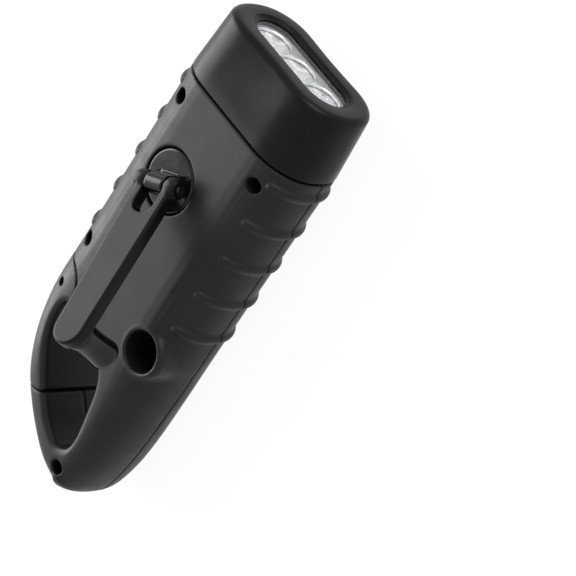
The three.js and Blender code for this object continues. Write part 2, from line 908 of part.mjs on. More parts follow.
// Hollow of both shells: inside the walls, round the loop, the gate and the well.
function hollowForm() {
  return cutBy(pillow(wall, 18, 5), [
    prism(shapeOf(loopOutline(loopWall, 16)), solarFaceZ, crankFaceZ),
    prism(gatePlan(loopWall), solarFaceZ, crankFaceZ),
    post(wellRadius + wellWall, wellFloorZ - wellFloor, crankFaceZ, wellX, wellY, 20),
  ]);
}

function buttonPrism(margin, low, high) {
  const shape = roundedRectangle(
    buttonLength / 2 + margin,
    buttonHeight / 2 + margin,
    buttonHeight / 3 + margin,
  );
  const geometry = new THREE.ExtrudeGeometry(shape, {
    depth: high - low,
    bevelEnabled: false,
    curveSegments: 4,
  });
  geometry.rotateX(-Math.PI / 2);
  geometry.translate(buttonX, low, buttonZ);
  return solidOf(geometry);
}

function crankShell() {
  const upper = block([-farX, -farX, upperPartingZ], [shellFrontX, farX, farZ]);
  const bushBore = hubSpigotRadius + runningClearance + bushThickness;
  const hubCupRadius = hubRecessRadius + wall;
  const secondBossLowZ = firstWheelZ + wheelFace + restClearance;
  const rotorBossLowZ = secondWheelZ + wheelFace + restClearance;
  const bosses = joined([
    post(hubCupRadius, hubRecessZ - hubFloor, crankFaceZ - wall, hubX, hubY, 28),
    post(bushBore + bossWall, bossLowZ, hubRecessZ, hubX, hubY, 20),
    post(shaftBossRadius, bossLowZ, innerCeilingZ, firstIdler.x, firstIdler.y),
    post(shaftBossRadius, secondBossLowZ, innerCeilingZ, secondIdler.x, secondIdler.y),
    post(shaftBossRadius, rotorBossLowZ, innerCeilingZ, rotorPlace.x, rotorPlace.y),
    ...bodyScrews.map(({ x, y }) =>
      post(screwHoleRadius + screwBossWall, upperPartingZ, crankFaceZ - wall, x, y, 16),
    ),
  ]);
  const hollow = shellHollow.subtract(bosses);
  const cuts = [
    hollow,
    loopCut,
    gateCut,
    buttonCut,
    post(wellRadius, wellFloorZ, crankFaceZ + overrun, wellX, wellY, 28),
    post(hubRecessRadius, hubRecessZ, crankFaceZ + overrun, hubX, hubY, 36),
    post(bushBore + seatClearance, bossLowZ - overrun, hubRecessZ + overrun, hubX, hubY, 20),
    shaftHole(idlerShaftRadius + seatClearance, bossLowZ, firstIdler),
    shaftHole(idlerShaftRadius + seatClearance, secondBossLowZ, secondIdler),
    shaftHole(rotorShaftRadius + runningClearance, rotorBossLowZ, rotorPlace),
    ...bodyScrews.flatMap(({ x, y }) => [
      post(screwHoleRadius, screwSeatZ, crankFaceZ + overrun, x, y, 20),
      post(screwShankRadius + slideClearance, partingZ - overrun, screwSeatZ + overrun, x, y, 12),
    ]),
  ];
  return shellParts(cutBy(bodyForm.intersect(upper), cuts), upper);
}

// The crank side's moulding as three nodes, so that none bends round both the loop and the well:
// its tail, the corner that holds the well, and the rest, which carries the gate's tongue.
function shellParts(shell, upper) {
  const low = [-farX, -farX, -farZ];
  const tailX = loopFrontX - tailJointFromLoop;
  const cornerX = wellX + humpRadius + cornerRoundHump;
  const cornerY = wellY + humpRadius + cornerRoundHump;
  const tail = block(low, [tailX, farX, farZ]);
  const corner = block([tailX + seatClearance, -farX, -farZ], [cornerX, cornerY, farZ]);
  const grip = cutBy(shell, [
    block(low, [tailX + seatClearance, farX, farZ]),
    block(low, [cornerX + seatClearance, cornerY + seatClearance, farZ]),
  ]);
  return [
    node("crank_shell", grip.add(gateTongue(upper)), plasticBlack),
    node("crank_tail", shell.intersect(tail), plasticBlack),
    node("knob_well", shell.intersect(corner), plasticBlack),
  ];
}

// Blind hole in the lower end of a shaft's boss.
function shaftHole(radius, bossLow, { x, y }) {
  return post(radius, bossLow - restClearance, bossLow + shaftSeat, x, y, 16);
}

function solarShell() {
  const lower = block([-farX, -farX, -farZ], [shellFrontX, farX, lowerPartingZ]);
  const tray = prism(panelShape(panelTrayWall), solarFaceZ + wall / 2, trayTopZ);
  const bossRadius = screwShankRadius + screwBossWall + bossWall / 2;
  const bosses = joined([
    tray.intersect(pillow(wall / 2, 12, 4)),
    post(canRadius - canWall, solarFaceZ + wall / 2, trayTopZ, rotorPlace.x, rotorPlace.y, 20),
    tube(
      canRadius + slideClearance,
      canFenceRadius,
      solarFaceZ + wall / 2,
      canLowZ + canFenceHeight,
      rotorPlace.x,
      rotorPlace.y,
      24,
    ),
    ...bodyScrews.map(({ x, y }) => post(bossRadius, solarFaceZ + wall / 2, lowerPartingZ, x, y)),
    ...plateScrews.flatMap(({ x, y }) => [
      post(postRadius + postShoulder, trayTopZ - wall / 2, boardLowZ - slideClearance, x, y),
      post(postRadius, trayTopZ - wall / 2, plateLowZ - seatClearance, x, y),
    ]),
    ...batteryCradles(),
  ]);
  const cuts = [
    shellHollow.subtract(bosses),
    loopCut,
    gateCut,
    buttonCut,
    prism(panelShape(0), -overrun, solarFaceZ + panelPocketDepth),
    ...bodyScrews.map(({ x, y }) =>
      post(
        screwShankRadius + screwPilotClearance,
        screwSeatZ - screwShankLength - restClearance,
        lowerPartingZ + overrun,
        x,
        y,
        12,
      ),
    ),
    ...plateScrews.map(({ x, y }) =>
      post(
        plateScrewRadius + seatClearance,
        plateHighZ - plateScrewLength - restClearance,
        plateLowZ + overrun,
        x,
        y,
        12,
      ),
    ),
  ];
  const shell = cutBy(bodyForm.intersect(lower), cuts);
  return node("solar_shell", shell.add(gateTongue(lower)), plasticBlack);
}

// Tongue of each shell that the forked gate turns about, cut to the shell's half.
function gateTongue(half) {
  const low = middleZ - tongueBelowMiddle;
  const high = low + tongueDepth;
  const bar = block(
    [gatePivot.x, gatePivot.y - tongueRadius, low],
    [gatePivot.x + gateRootRadius + loopWall / 2, gatePivot.y + tongueRadius, high],
  );
  const eye = post(tongueRadius, low, high, gatePivot.x, gatePivot.y, 28);
  const bore = post(
    gatePinRadius + runningClearance,
    low - overrun,
    high + overrun,
    gatePivot.x,
    gatePivot.y,
    20,
  );
  return bar.add(eye).subtract(bore).intersect(half);
}

// Saddles that carry the battery, cut to its round.
function batteryCradles() {
  const reach = batteryRadius * cradleReachShare;
  const bed = solidOf(
    new THREE.CylinderGeometry(
      batteryRadius + restClearance,
      batteryRadius + restClearance,
      batteryLength * 2,
      20,
    ).rotateZ(Math.PI / 2),
  ).translate([batteryBackX, batteryY, batteryZ]);
  return [0.2, 0.8].map((share) => {
    const x = batteryBackX + share * batteryLength;
    const saddle = block(
      [x - cradleThickness / 2, batteryY - reach, solarFaceZ + wall / 2],
      [x + cradleThickness / 2, batteryY + reach, batteryZ - batteryRadius * 0.35],
    );
    return saddle.subtract(bed);
  });
}

// Gate

function gate() {
  const low = middleZ - tongueBelowMiddle - restClearance;
  const springRoom = gateSpringTurns * gateSpringPitch + gateSpringWire + 2 * restClearance;
  const high = middleZ - tongueBelowMiddle + tongueDepth + springRoom;
  const half = tongueRadius + slideClearance;
  const swing = THREE.MathUtils.degToRad(-gateSwingDegrees - 2);
  const far = gateRootRadius * 1.5;
  const turnedPoint = (x, y) => [
    gatePivot.x + x * Math.cos(swing) - y * Math.sin(swing),
    gatePivot.y + x * Math.sin(swing) + y * Math.cos(swing),
  ];
  const slot = prism(
    shapeOf([
      turnedPoint(0, -half),
      turnedPoint(far, -half),
      [gatePivot.x + far, gatePivot.y + half],
      [gatePivot.x, gatePivot.y + half],
    ]),
    low,
    high,
  ).add(post(half, low, high, gatePivot.x, gatePivot.y, 28));
  const farHighZ = crankFaceZ + overrun;
  const bore = post(gatePinRadius + seatClearance, -overrun, farHighZ, gatePivot.x, gatePivot.y, 20);
  const form = bodyForm.intersect(prism(gatePlan(-slideClearance), -overrun, farHighZ));
  return node("gate", cutBy(form, [loopCut, slot, bore]), plasticBlack);
}

function gatePin() {
  const low = solarFaceZ + gatePinRecess;
  const high = crankFaceZ - gatePinRecess;
  return node("gate_pin", post(gatePinRadius, low, high, gatePivot.x, gatePivot.y, 20), steel);
}

// Torsion spring round the gate's pin, with a leg towards the tongue.
class GateSpringPath extends THREE.Curve {
  getPoint(t, target = new THREE.Vector3()) {
    const coilShare = 0.85;
    const low = middleZ - tongueBelowMiddle + tongueDepth + restClearance + gateSpringWire / 2;
    const rise = gateSpringTurns * gateSpringPitch;
    const turn = Math.min(1, t / coilShare);
    const angle = turn * gateSpringTurns * 2 * Math.PI - Math.PI / 2;
    const leg = Math.max(0, (t - coilShare) / (1 - coilShare)) * gateSpringLeg;
    return target.set(
      gatePivot.x + gateSpringRadius * Math.cos(angle) + leg,
      gatePivot.y + gateSpringRadius * Math.sin(angle),
      low + turn * rise,
    );
  }
}

function wireSection(radius, sides) {
  const points = Array.from({ length: sides }, (_, i) => {
    const angle = (i * 2 * Math.PI) / sides;
    return [radius * Math.cos(angle), radius * Math.sin(angle)];
  });
  return shapeOf(points);
}

function gateSpring() {
  const geometry = new THREE.ExtrudeGeometry(wireSection(gateSpringWire / 2, 5), {
    steps: 36,
    extrudePath: new GateSpringPath(),
    curveSegments: 1,
  });
  return node("gate_spring", solidOf(geometry), steel);
}

// Body screws

function bodyScrew(index) {
  const { x, y } = bodyScrews[index];
  const top = screwSeatZ + seatClearance + screwHeadHeight;
  const shape = turned(
    [
      [0, screwSeatZ - screwShankLength],
      [screwShankRadius, screwSeatZ - screwShankLength],
      [screwShankRadius, screwSeatZ + seatClearance],
      [screwHeadRadius, screwSeatZ + seatClearance],
      [screwHeadRadius, top - screwHeadHeight / 3],
      [screwHeadRadius * 0.8, top],
      [0, top],
    ],
    x,
    y,
    12,
  );
  return node(`body_screw_${index + 1}`, shape, darkSteel);
}

// Solar panel

function solarBezel() {
  const low = solarFaceZ + bezelInset;
  const high = solarFaceZ + panelPocketDepth - seatClearance;
  const step = cellShape(bezelStepWidth);
  const window = cellShape(seatClearance);
  const frame = cutBy(prism(panelShape(-slideClearance), low, high), [
    prism(step, low - overrun, low + bezelStep).translate([cellMiddleX, 0, 0]),
    prism(window, low, high + overrun).translate([cellMiddleX, 0, 0]),
  ]);
  return node("solar_bezel", frame, glossBlack);
}

function solarCell() {
  const high = solarFaceZ + panelPocketDepth - seatClearance;
  const cell = prism(cellShape(0), high - cellThickness, high).translate([cellMiddleX, 0, 0]);
  return node("solar_cell", cell, cellCopper);
}

// Head

// Section of the head as a closed ring at x: half sizes drawn in by an inset, with the
// long sides pulled in at the waist.
function headRing(x, halfWidth, halfDepth, inset, waist) {
  const quarter = 7;
  const flat = halfWidth - edgeBlend;
  const flatSteps = 5;
  const upper = [];
  for (let k = 0; k <= quarter; k++) {
    const angle = (k / quarter) * (Math.PI / 2);
    upper.push([
      flat + (edgeBlend - inset) * Math.max(0, Math.cos(angle)) ** (2 / edgePower),
      (halfDepth - inset) * Math.sin(angle) ** (2 / edgePower),
    ]);
  }
  for (let k = 1; k < flatSteps; k++) upper.push([flat * (1 - (2 * k) / flatSteps), halfDepth - inset]);
  const mirrored = upper.slice(0, quarter + 1).map(([y, z]) => [-y, z]);
  upper.push(...mirrored.reverse());
  const lower = upper.slice(1, -1).map(([y, z]) => [-y, -z]);
  return [...upper, ...lower].map(([y, z]) => {
    const across = Math.min(1, Math.abs(y) / (halfWidth * 0.75));
    const pull = waist * Math.cos((across * Math.PI) / 2) ** 2;
    return [x, y, middleZ + z - Math.sign(z) * pull];
  });
}

// Outer half sizes of the head, tapering from the skirt to the rim.
function headTaper(x) {
  const share = (x - skirtX) / (rimX - skirtX);
  return {
    halfWidth: headHalfWidth + (rimHalfWidth - headHalfWidth) * share,
    halfDepth: headHalfDepth + (rimHalfDepth - headHalfDepth) * share,
    waist: rimWaist * share,
  };
}

function headStation(x, inset, waistShare = 1) {
  const { halfWidth, halfDepth, waist } = headTaper(x);
  return headRing(x, halfWidth, halfDepth, inset, waist * waistShare);
}

// Half depth of the lamp window, an oblong round the three cups
const windowHalfLength = rimHalfWidth - cupsFromRim;
const cupPitch = (windowHalfLength - cupMargin + cupGap / 2) / (cupCount / 2);
const cupRadius = (cupPitch - cupGap) / 2;
const windowHalfDepth = cupRadius + cupMargin;

function windowRing(x, margin) {
  const steps = 11;
  const points = [];
  for (let k = 0; k <= steps; k++) {
    const angle = (k / steps) * Math.PI - Math.PI / 2;
    points.push([
      cupPitch + (windowHalfDepth + margin) * Math.cos(angle),
      (windowHalfDepth + margin) * Math.sin(angle),
    ]);
  }
  const other = points.map(([y, z]) => [-y, -z]);
  return [...points, ...other].map(([y, z]) => [x, y, middleZ + z]);
}

// A ring of the lamp window with as many points as a ring of the head, both starting
// at the gate side and running over the crank face.
function windowRingLike(x, margin) {
  const template = headRing(x, headHalfWidth, headHalfDepth, 0, 0);
  const straight = cupPitch;
  const radius = windowHalfDepth + margin;
  return template.map(([, y, z]) => {
    const up = z - middleZ;
    const side = Math.sign(y) || 1;
    const beyond = Math.abs(y) - (headHalfWidth - edgeBlend);
    if (beyond <= 0) {
      const share = Math.abs(y) / (headHalfWidth - edgeBlend);
      return [x, side * share * straight, middleZ + Math.sign(up) * radius];
    }
    const angle = Math.atan2(Math.abs(up) / headHalfDepth, beyond / edgeBlend);
    return [
      x,
      side * (straight + radius * Math.cos(angle)),
      middleZ + Math.sign(up) * radius * Math.sin(angle),
    ];
  });
}

const lensFrontX = rimX - lensRecess;
const lipBackX = lensFrontX - lensLip;
const flangeFrontX = lipBackX - seatClearance;
const flangeBackX = flangeFrontX - lensFlangeThickness;
const reflectorFrontX = flangeBackX - seatClearance;
const reflectorBackX = reflectorFrontX - cupDepth - reflectorWall;
const ledBoardFrontX = reflectorBackX - restClearance;
const ledBoardBackX = ledBoardFrontX - ledBoardThickness;

function headBezel() {
  const spigotOuter = wall + slideClearance;
  const spigotBackX = skirtX - spigotLength;
  const pocket = lensFlange + sealWidth + 2 * seatClearance;
  const bodyRing = (x, inset) => headRing(x, gripHalfWidth, gripHalfDepth, inset, 0);
  const rings = [
    bodyRing(spigotBackX, spigotOuter + spigotWall),
    bodyRing(spigotBackX, spigotOuter),
    bodyRing(skirtX, spigotOuter),
    headStation(skirtX, skirtEdge),
    headStation(skirtX + skirtEdge, 0),
    headStation((skirtX + rimX) / 2, 0),
    headStation(rimX - rimRounding, 0),
  ];
  for (let k = 1; k <= 3; k++) {
    const angle = (k / 3) * (Math.PI / 2);
    rings.push(
      headStation(rimX - rimRounding * (1 - Math.sin(angle)), rimRounding * (1 - Math.cos(angle))),
    );
  }
  rings.push(
    windowRingLike(rimX, ledgeWidth * 2),
    windowRingLike(rimX - ledgeDepth, ledgeWidth + seatClearance),
    windowRingLike(rimX - ledgeDepth, seatClearance),
    windowRingLike(lipBackX, seatClearance),
    windowRingLike(lipBackX, pocket),
    windowRingLike(rimX - headFront, pocket),
    headStation(rimX - headFront, headWall),
    headStation(skirtX, headWall + (gripHalfWidth - headHalfWidth)),
    bodyRing(skirtX, spigotOuter + spigotWall),
  );
  return node("head_bezel", loft(rings, true), headBlack);
}

// Plates with the lamp window's outline, between [x, margin] sections. The rings are
// lofted upright, so that their lids are flat in plan, and then laid along X.
function windowSolid(sections) {
  const rings = sections.map(([x, margin]) => windowRing(x, margin).map(([, y, z]) => [y, z, x]));
  const upright = new THREE.Matrix4().set(0, 0, 1, 0, 1, 0, 0, 0, 0, 1, 0, 0, 0, 0, 0, 1);
  return loft(rings, false).transform(upright.elements);
}

function lens() {
  const flange = [[flangeBackX, lensFlange], [flangeFrontX, lensFlange]];
  const window = [[flangeFrontX - overrun / 2, -seatClearance], [lensFrontX, -seatClearance]];
  return node("lens", windowSolid(flange).add(windowSolid(window)), clearPlastic);
}

function lensSeal() {
  const outer = windowSolid([
    [flangeBackX, lensFlange + sealWidth],
    [flangeFrontX, lensFlange + sealWidth],
  ]);
  const inner = windowSolid([
    [flangeBackX - overrun, lensFlange + seatClearance],
    [flangeFrontX + overrun, lensFlange + seatClearance],
  ]);
  return node("lens_seal", outer.subtract(inner), rubberBlack);
}

function alongX(solid) {
  return solid.rotate([0, 90, 0]);
}

// Three bright cups in one moulding, with a throat for each lamp.
function reflector() {
  const body = windowSolid([[reflectorBackX, -seatClearance], [reflectorFrontX, -seatClearance]]);
  const flange = windowSolid([
    [reflectorFrontX - reflectorWall, lensFlange],
    [reflectorFrontX, lensFlange],
  ]);
  const cups = lampPlaces().map((y) => alongX(cupHollow()).translate([0, y, middleZ]));
  return node("reflector", cutBy(body.add(flange), cups), chrome);
}

// Hollow of a cup: a paraboloid from its throat to its mouth, turned about Z.
function cupHollow() {
  const steps = 4;
  const backZ = reflectorFrontX - cupDepth;
  const profile = [[0, reflectorBackX - overrun], [cupThroat, reflectorBackX - overrun]];
  for (let k = 0; k <= steps; k++) {
    const share = k / steps;
    const square = cupThroat ** 2 + (cupRadius ** 2 - cupThroat ** 2) * share;
    profile.push([Math.sqrt(square), backZ + cupDepth * share]);
  }
  profile.push([cupRadius, reflectorFrontX + overrun], [0, reflectorFrontX + overrun]);
  return turned(profile, 0, 0, 16);
}

function lampPlaces() {
  return [-cupPitch, 0, cupPitch];
}

function led(index) {
  const y = lampPlaces()[index];
  const base = ledBoardFrontX + seatClearance;
  const shoulder = base + ledHeight - ledRadius;
  const profile = [
    [0, base],
    [ledFlangeRadius - 2 * seatClearance - slideClearance, base],
    [ledFlangeRadius - 2 * seatClearance - slideClearance, base + ledFlangeHeight],
    [ledRadius, base + ledFlangeHeight],
  ];
  for (let k = 0; k <= 3; k++) {
    const angle = (k / 3) * (Math.PI / 2);
    const radius = k === 3 ? 0 : ledRadius * Math.cos(angle);
    profile.push([radius, shoulder + ledRadius * Math.sin(angle)]);
  }
  const body = alongX(turned(profile, 0, 0, 12)).translate([0, y, middleZ]);
  return node(`led_${index + 1}`, body, clearPlastic);
}

function ledBoard() {
  const board = windowSolid([[ledBoardBackX, 0], [ledBoardFrontX, 0]]);
  return node("led_board", board, boardWhite);
}

// Crank: hub, axle, gear and screw turn together. Its local frame stands on the hub's
// axis with X towards the folded knob.

function hubFrame(...pieces) {
  const frame = new THREE.Group();
  frame.position.set(hubX, hubY, 0);
  frame.rotation.z = hubAzimuth;
  frame.add(...pieces);
  return frame;
}

function crankHub() {
  const disc = turned(
    [
      [0, hubBottomZ],
      [hubRadius, hubBottomZ],
      [hubRadius, hubTopZ - hubChamfer],
      [hubRadius - hubChamfer, hubTopZ],
      [0, hubTopZ],
    ],
    0,
    0,
    36,
  );
  const spigot = post(hubSpigotRadius, crankGearZ - restClearance, hubBottomZ + overrun, 0, 0, 20);
  const lugRound = alongY(earRadius, lugWidth, 20).translate([hingeFromHub, 0, hingeZ]);
  const pedestal = block(
    [hingeFromHub - earRadius, -lugWidth / 2, hubTopZ - overrun],
    [hingeFromHub + earRadius, lugWidth / 2, hingeZ],
  );
  const pinBore = alongY(hingePinRadius + runningClearance, lugWidth + overrun, 14);
  const cuts = [
    pinBore.translate([hingeFromHub, 0, hingeZ]),
    post(crankAxleRadius + seatClearance, crankGearZ - overrun, hubBottomZ, 0, 0, 20),
    post(hubScrewShank + seatClearance, hubBottomZ - overrun, hubTopZ + overrun, hubScrewReach, 0, 16),
  ];
  return node("crank_hub", cutBy(joined([disc, spigot, lugRound, pedestal]), cuts), glossBlack);
}

function alongY(radius, length, sides) {
  return solidOf(new THREE.CylinderGeometry(radius, radius, length, sides));
}

function crankAxle() {
  const low = plateLowZ;
  return node("crank_axle", post(crankAxleRadius, low, hubBottomZ - seatClearance, 0, 0, 20), steel);
}

function hubScrew() {
  const low = hubTopZ + seatClearance;
  const top = low + hubScrewHeight;
  const screw = turned(
    [
      [0, hubBottomZ + seatClearance],
      [hubScrewShank, hubBottomZ + seatClearance],
      [hubScrewShank, low],
      [hubScrewRadius, low],
      [hubScrewRadius, top - hubScrewHeight / 3],
      [hubScrewRadius * 0.75, top],
      [0, top],
    ],
    hubScrewReach,
    0,
    16,
  );
  const slot = block(
    [hubScrewReach - hubScrewSlot / 2, -hubScrewRadius - overrun, top - hubScrewHeight / 2],
    [hubScrewReach + hubScrewSlot / 2, hubScrewRadius + overrun, top + overrun],
  );
  return node("hub_screw", screw.subtract(slot), steel);
}

function axleBush() {
  const inner = hubSpigotRadius + runningClearance;
  const high = hubRecessZ - seatClearance;
  const bush = tube(inner, inner + bushThickness, high - bushLength, high, hubX, hubY);
  return node("axle_bush", bush, brass);
}

function crankGear() {
  const gear = gearAt(
    hubPlace,
    crankGearTeeth,
    firstStageModule,
    lineAngle(hubPlace, firstIdler),
    crankGearZ,
    crankGearFace,
  );
  return node("crank_gear", gear.subtract(boreAt(hubPlace, hubSpigotRadius + seatClearance)), gearNylon);
}

// Arm: its local frame lies on the hinge's axis, X along the arm and Y along the pin.

function armFrame(...pieces) {
  const frame = new THREE.Group();
  frame.position.set(hingeFromHub, 0, hingeZ);
  frame.rotation.y = -THREE.MathUtils.degToRad(armRestLiftDegrees);
  frame.add(...pieces);
  return frame;
}

const earInnerY = lugWidth / 2 + slideClearance;
const earOuterY = earInnerY + earWidth;

function armPlan(inset) {
  const tipRadius = armTipWidth / 2 - inset;
  const rootHalf = armRootWidth / 2 - inset;
  const shape = new THREE.Shape();
  shape.moveTo(inset, -rootHalf);
  shape.lineTo(knobReach, -tipRadius);
  shape.absarc(knobReach, 0, tipRadius, -Math.PI / 2, Math.PI / 2);
  shape.lineTo(inset, rootHalf);
  return shape;
}

function crankArm() {
  const half = armThickness / 2;
  const bar = joined([
    prism(armPlan(0), armEdge - half, half - armEdge, 8),
    prism(armPlan(armEdge * 0.35), armEdge * 0.35 - half, half - armEdge * 0.35, 8),
    prism(armPlan(armEdge), -half, half, 8),
  ]);
  const ears = [-1, 1].map((side) =>
    alongY(earRadius, earWidth, 20).translate([0, side * (earInnerY + earWidth / 2), 0]),
  );
  const knobPost = post(knobPostRadius, -half - knobPostLength, overrun - half, knobReach, 0, 18);
  const cuts = [
    armNotch(),
    alongY(hingePinRadius + seatClearance, 2 * earOuterY + 2 * overrun, 14),
    post(
      knobScrewRadius + seatClearance,
      -half - knobPostLength - overrun,
      -half - knobPostLength + knobScrewBite + restClearance,
      knobReach,
      0,
      16,
    ),
  ];
  return node("crank_arm", cutBy(joined([bar, ...ears, knobPost]), cuts), plasticBlack);
}

// Notch between the ears, round at its inner end.
function armNotch() {
  const shape = new THREE.Shape();
  const straight = armNotchLength - earInnerY / 2;
  shape.moveTo(-2 * earRadius, -earInnerY);
  shape.lineTo(straight, -earInnerY);
  shape.quadraticCurveTo(armNotchLength + earInnerY / 2, -earInnerY, armNotchLength + earInnerY / 2, 0);
  shape.quadraticCurveTo(armNotchLength + earInnerY / 2, earInnerY, straight, earInnerY);
  shape.lineTo(-2 * earRadius, earInnerY);
  return prism(shape, -2 * earRadius, 2 * earRadius, 6);
}

function hingePin() {
  const head = alongY(hingePinHead, hingePinHeadThickness, 16).translate([
    0,
    -earOuterY - seatClearance - hingePinHeadThickness / 2,
    0,
  ]);
  const length = 2 * earOuterY + overrun;
  const middleY = earOuterY - length / 2 - seatClearance;
  const shank = alongY(hingePinRadius, length, 14).translate([0, middleY, 0]);
  return node("hinge_pin", head.add(shank), steel);
}

// Free-turning knob on the arm's post, drawn in slightly at its middle.
function knob() {
  const profile = [[knobPostRadius + runningClearance, knobTop]];
  const neck = knobRadius * knobNeckShare;
  const shoulder = knobTop - (knobRadius - neck) * knobNeckDropShare;
  profile.push([neck, knobTop], [knobRadius, shoulder]);
  profile.push([knobRadius - knobWaist, (knobTop + knobBottom) / 2]);
  for (let k = 0; k <= 3; k++) {
    const angle = (k / 3) * (Math.PI / 2);
    profile.push([
      knobRadius - knobRounding * (1 - Math.cos(angle)),
      knobBottom + knobRounding * (1 - Math.sin(angle)),
    ]);
  }
  const postEnd = -armThickness / 2 - knobPostLength;
  const headRoom = knobScrewHeadRadius + slideClearance;
  const webHigh = postEnd - slideClearance;
  profile.push([headRoom, knobBottom], [headRoom, webHigh - knobWeb]);
  profile.push([knobScrewRadius + slideClearance, webHigh - knobWeb]);
  profile.push([knobScrewRadius + slideClearance, webHigh]);
  profile.push([knobPostRadius + runningClearance, webHigh]);
  profile.push([knobPostRadius + runningClearance, knobTop]);
  return node("knob", turned(profile.reverse(), knobReach, 0, 20), glossBlack);
}

function knobScrew() {
  const postEnd = -armThickness / 2 - knobPostLength;
  const seat = postEnd - slideClearance - knobWeb - seatClearance;
  const screw = turned(
    [
      [0, seat - knobScrewHeadHeight],
      [knobScrewHeadRadius, seat - knobScrewHeadHeight],
      [knobScrewHeadRadius, seat],
      [knobScrewRadius, seat],
      [knobScrewRadius, postEnd + knobScrewBite],
      [0, postEnd + knobScrewBite],
    ],
    knobReach,
    0,
    16,
  );
  return node("knob_screw", screw, steel);
}

// Gear train and generator

function idlerGear(name, place, pinion, wheel) {
  const parts = [
    gearAt(place, pinion.teeth, pinion.module, pinion.angle, pinion.low, pinion.face),
    gearAt(place, wheel.teeth, wheel.module, wheel.angle, wheel.low, wheelFace),
    post(
      idlerShaftRadius + gearHubWall,
      wheel.low + wheelFace / 2,
      pinion.low + pinion.face / 2,
      place.x,
      place.y,
    ),
  ];
  const bore = boreAt(place, idlerShaftRadius + runningClearance);
  return node(name, joined(parts).subtract(bore), gearNylon);
}

function firstIdlerGear() {
  return idlerGear(
    "idler_gear_1",
    firstIdler,
    {
      teeth: firstPinionTeeth,
      module: firstStageModule,
      angle: meshingAngle(hubPlace, firstIdler, firstPinionTeeth),
      low: crankGearZ,
      face: crankGearFace,
    },
    {
      teeth: firstWheelTeeth,
      module: laterStageModule,
      angle: lineAngle(firstIdler, secondIdler),
      low: firstWheelZ,
    },
  );
}

function secondIdlerGear() {
  return idlerGear(
    "idler_gear_2",
    secondIdler,
    {
      teeth: secondPinionTeeth,
      module: laterStageModule,
      angle: meshingAngle(firstIdler, secondIdler, secondPinionTeeth),
      low: firstWheelZ,
      face: wheelFace,
    },
    {
      teeth: secondWheelTeeth,
      module: laterStageModule,
      angle: lineAngle(secondIdler, rotorPlace),
      low: secondWheelZ,
    },
  );
}

function idlerShaft(name, place, bossLow) {
  const top = bossLow + shaftSeat - restClearance;
  return node(name, post(idlerShaftRadius, plateLowZ, top, place.x, place.y, 16), steel);
}

function rotorPinion() {
  const gear = gearAt(
    rotorPlace,
    rotorPinionTeeth,
    laterStageModule,
    meshingAngle(secondIdler, rotorPlace, rotorPinionTeeth),
    rotorPinionZ,
    wheelFace,
  );
  const bore = boreAt(rotorPlace, rotorShaftRadius + seatClearance);
  return node("rotor_pinion", gear.subtract(bore), brass);
}

function rotorShaft() {
  const top = secondWheelZ + wheelFace + shaftSeat;
  return node(
    "rotor_shaft",
    post(rotorShaftRadius, canLowZ + restClearance, top, rotorPlace.x, rotorPlace.y, 16),
    steel,
  );
}

function generatorCan() {
  const { x, y } = rotorPlace;
  const can = turned(
    [
      [0, canLowZ],
      [canRadius, canLowZ],
      [canRadius, canHighZ],
      [canRadius - canWall, canHighZ],
      [canRadius - canWall, canLowZ + canWall],
      [0, canLowZ + canWall],
    ],
    x,
    y,
    28,
  );
  const bearing = post(rotorShaftRadius + runningClearance, canLowZ - overrun, canHighZ, x, y, 16);
  return node("generator_can", can.subtract(bearing), steel);
}

function generatorCoil() {
  const outer = canRadius - canWall - 2 * seatClearance;
  const low = canLowZ + canWall + seatClearance;
  const high = canHighZ - restClearance;
  const coil = tube(outer - coilThickness, outer, low, high, rotorPlace.x, rotorPlace.y);
  return node("generator_coil", coil, coilCopper);
}

function rotorMagnet() {
  const radius = canRadius - canWall - coilThickness - airGap;
  const magnet = tube(
    rotorShaftRadius + seatClearance,
    radius,
    canLowZ + canWall + airGap,
    canHighZ - airGap,
    rotorPlace.x,
    rotorPlace.y,
  );
  return node("rotor_magnet", magnet, magnetGrey);
}

// Convex outline round circles, by walking the outermost of their sample points.
function hullOfCircles(circles, sides) {
  const points = circles.flatMap(({ x, y, radius }) =>
    Array.from({ length: sides }, (_, i) => {
      const angle = (i * 2 * Math.PI) / sides;
      return [x + radius * Math.cos(angle), y + radius * Math.sin(angle)];
    }),
  );
  points.sort((a, b) => a[0] - b[0] || a[1] - b[1]);
  const half = (list) => {
    const chain = [];
    for (const point of list) {
      while (chain.length > 1 && turnOf(chain.at(-2), chain.at(-1), point) <= 0) chain.pop();
      chain.push(point);
    }
    return chain.slice(0, -1);
  };
  return [...half(points), ...half([...points].reverse())];
}

function turnOf(a, b, c) {
  return (b[0] - a[0]) * (c[1] - a[1]) - (b[1] - a[1]) * (c[0] - a[0]);
}

function gearPlate() {
  const outline = hullOfCircles(
    [
      { ...rotorPlace, radius: canRadius - plateMargin },
      { ...hubPlace, radius: pitchRadius(crankGearTeeth, firstStageModule) + plateMargin },
    ],
    22,
  );
  const plate = cutBy(prism(shapeOf(outline), plateLowZ, plateHighZ), [
    plateHole(rotorPlace, rotorShaftRadius * 3),
    plateHole(firstIdler, idlerShaftRadius + seatClearance),
    plateHole(secondIdler, idlerShaftRadius + seatClearance),
    plateHole(hubPlace, crankAxleRadius + runningClearance),
    ...plateScrews.map((place) => plateHole(place, plateScrewRadius + seatClearance)),
  ]);
  return node("gear_plate", plate, steel);
}

function plateHole({ x, y }, radius) {
  return post(radius, plateLowZ - overrun, plateHighZ + overrun, x, y, 16);
}

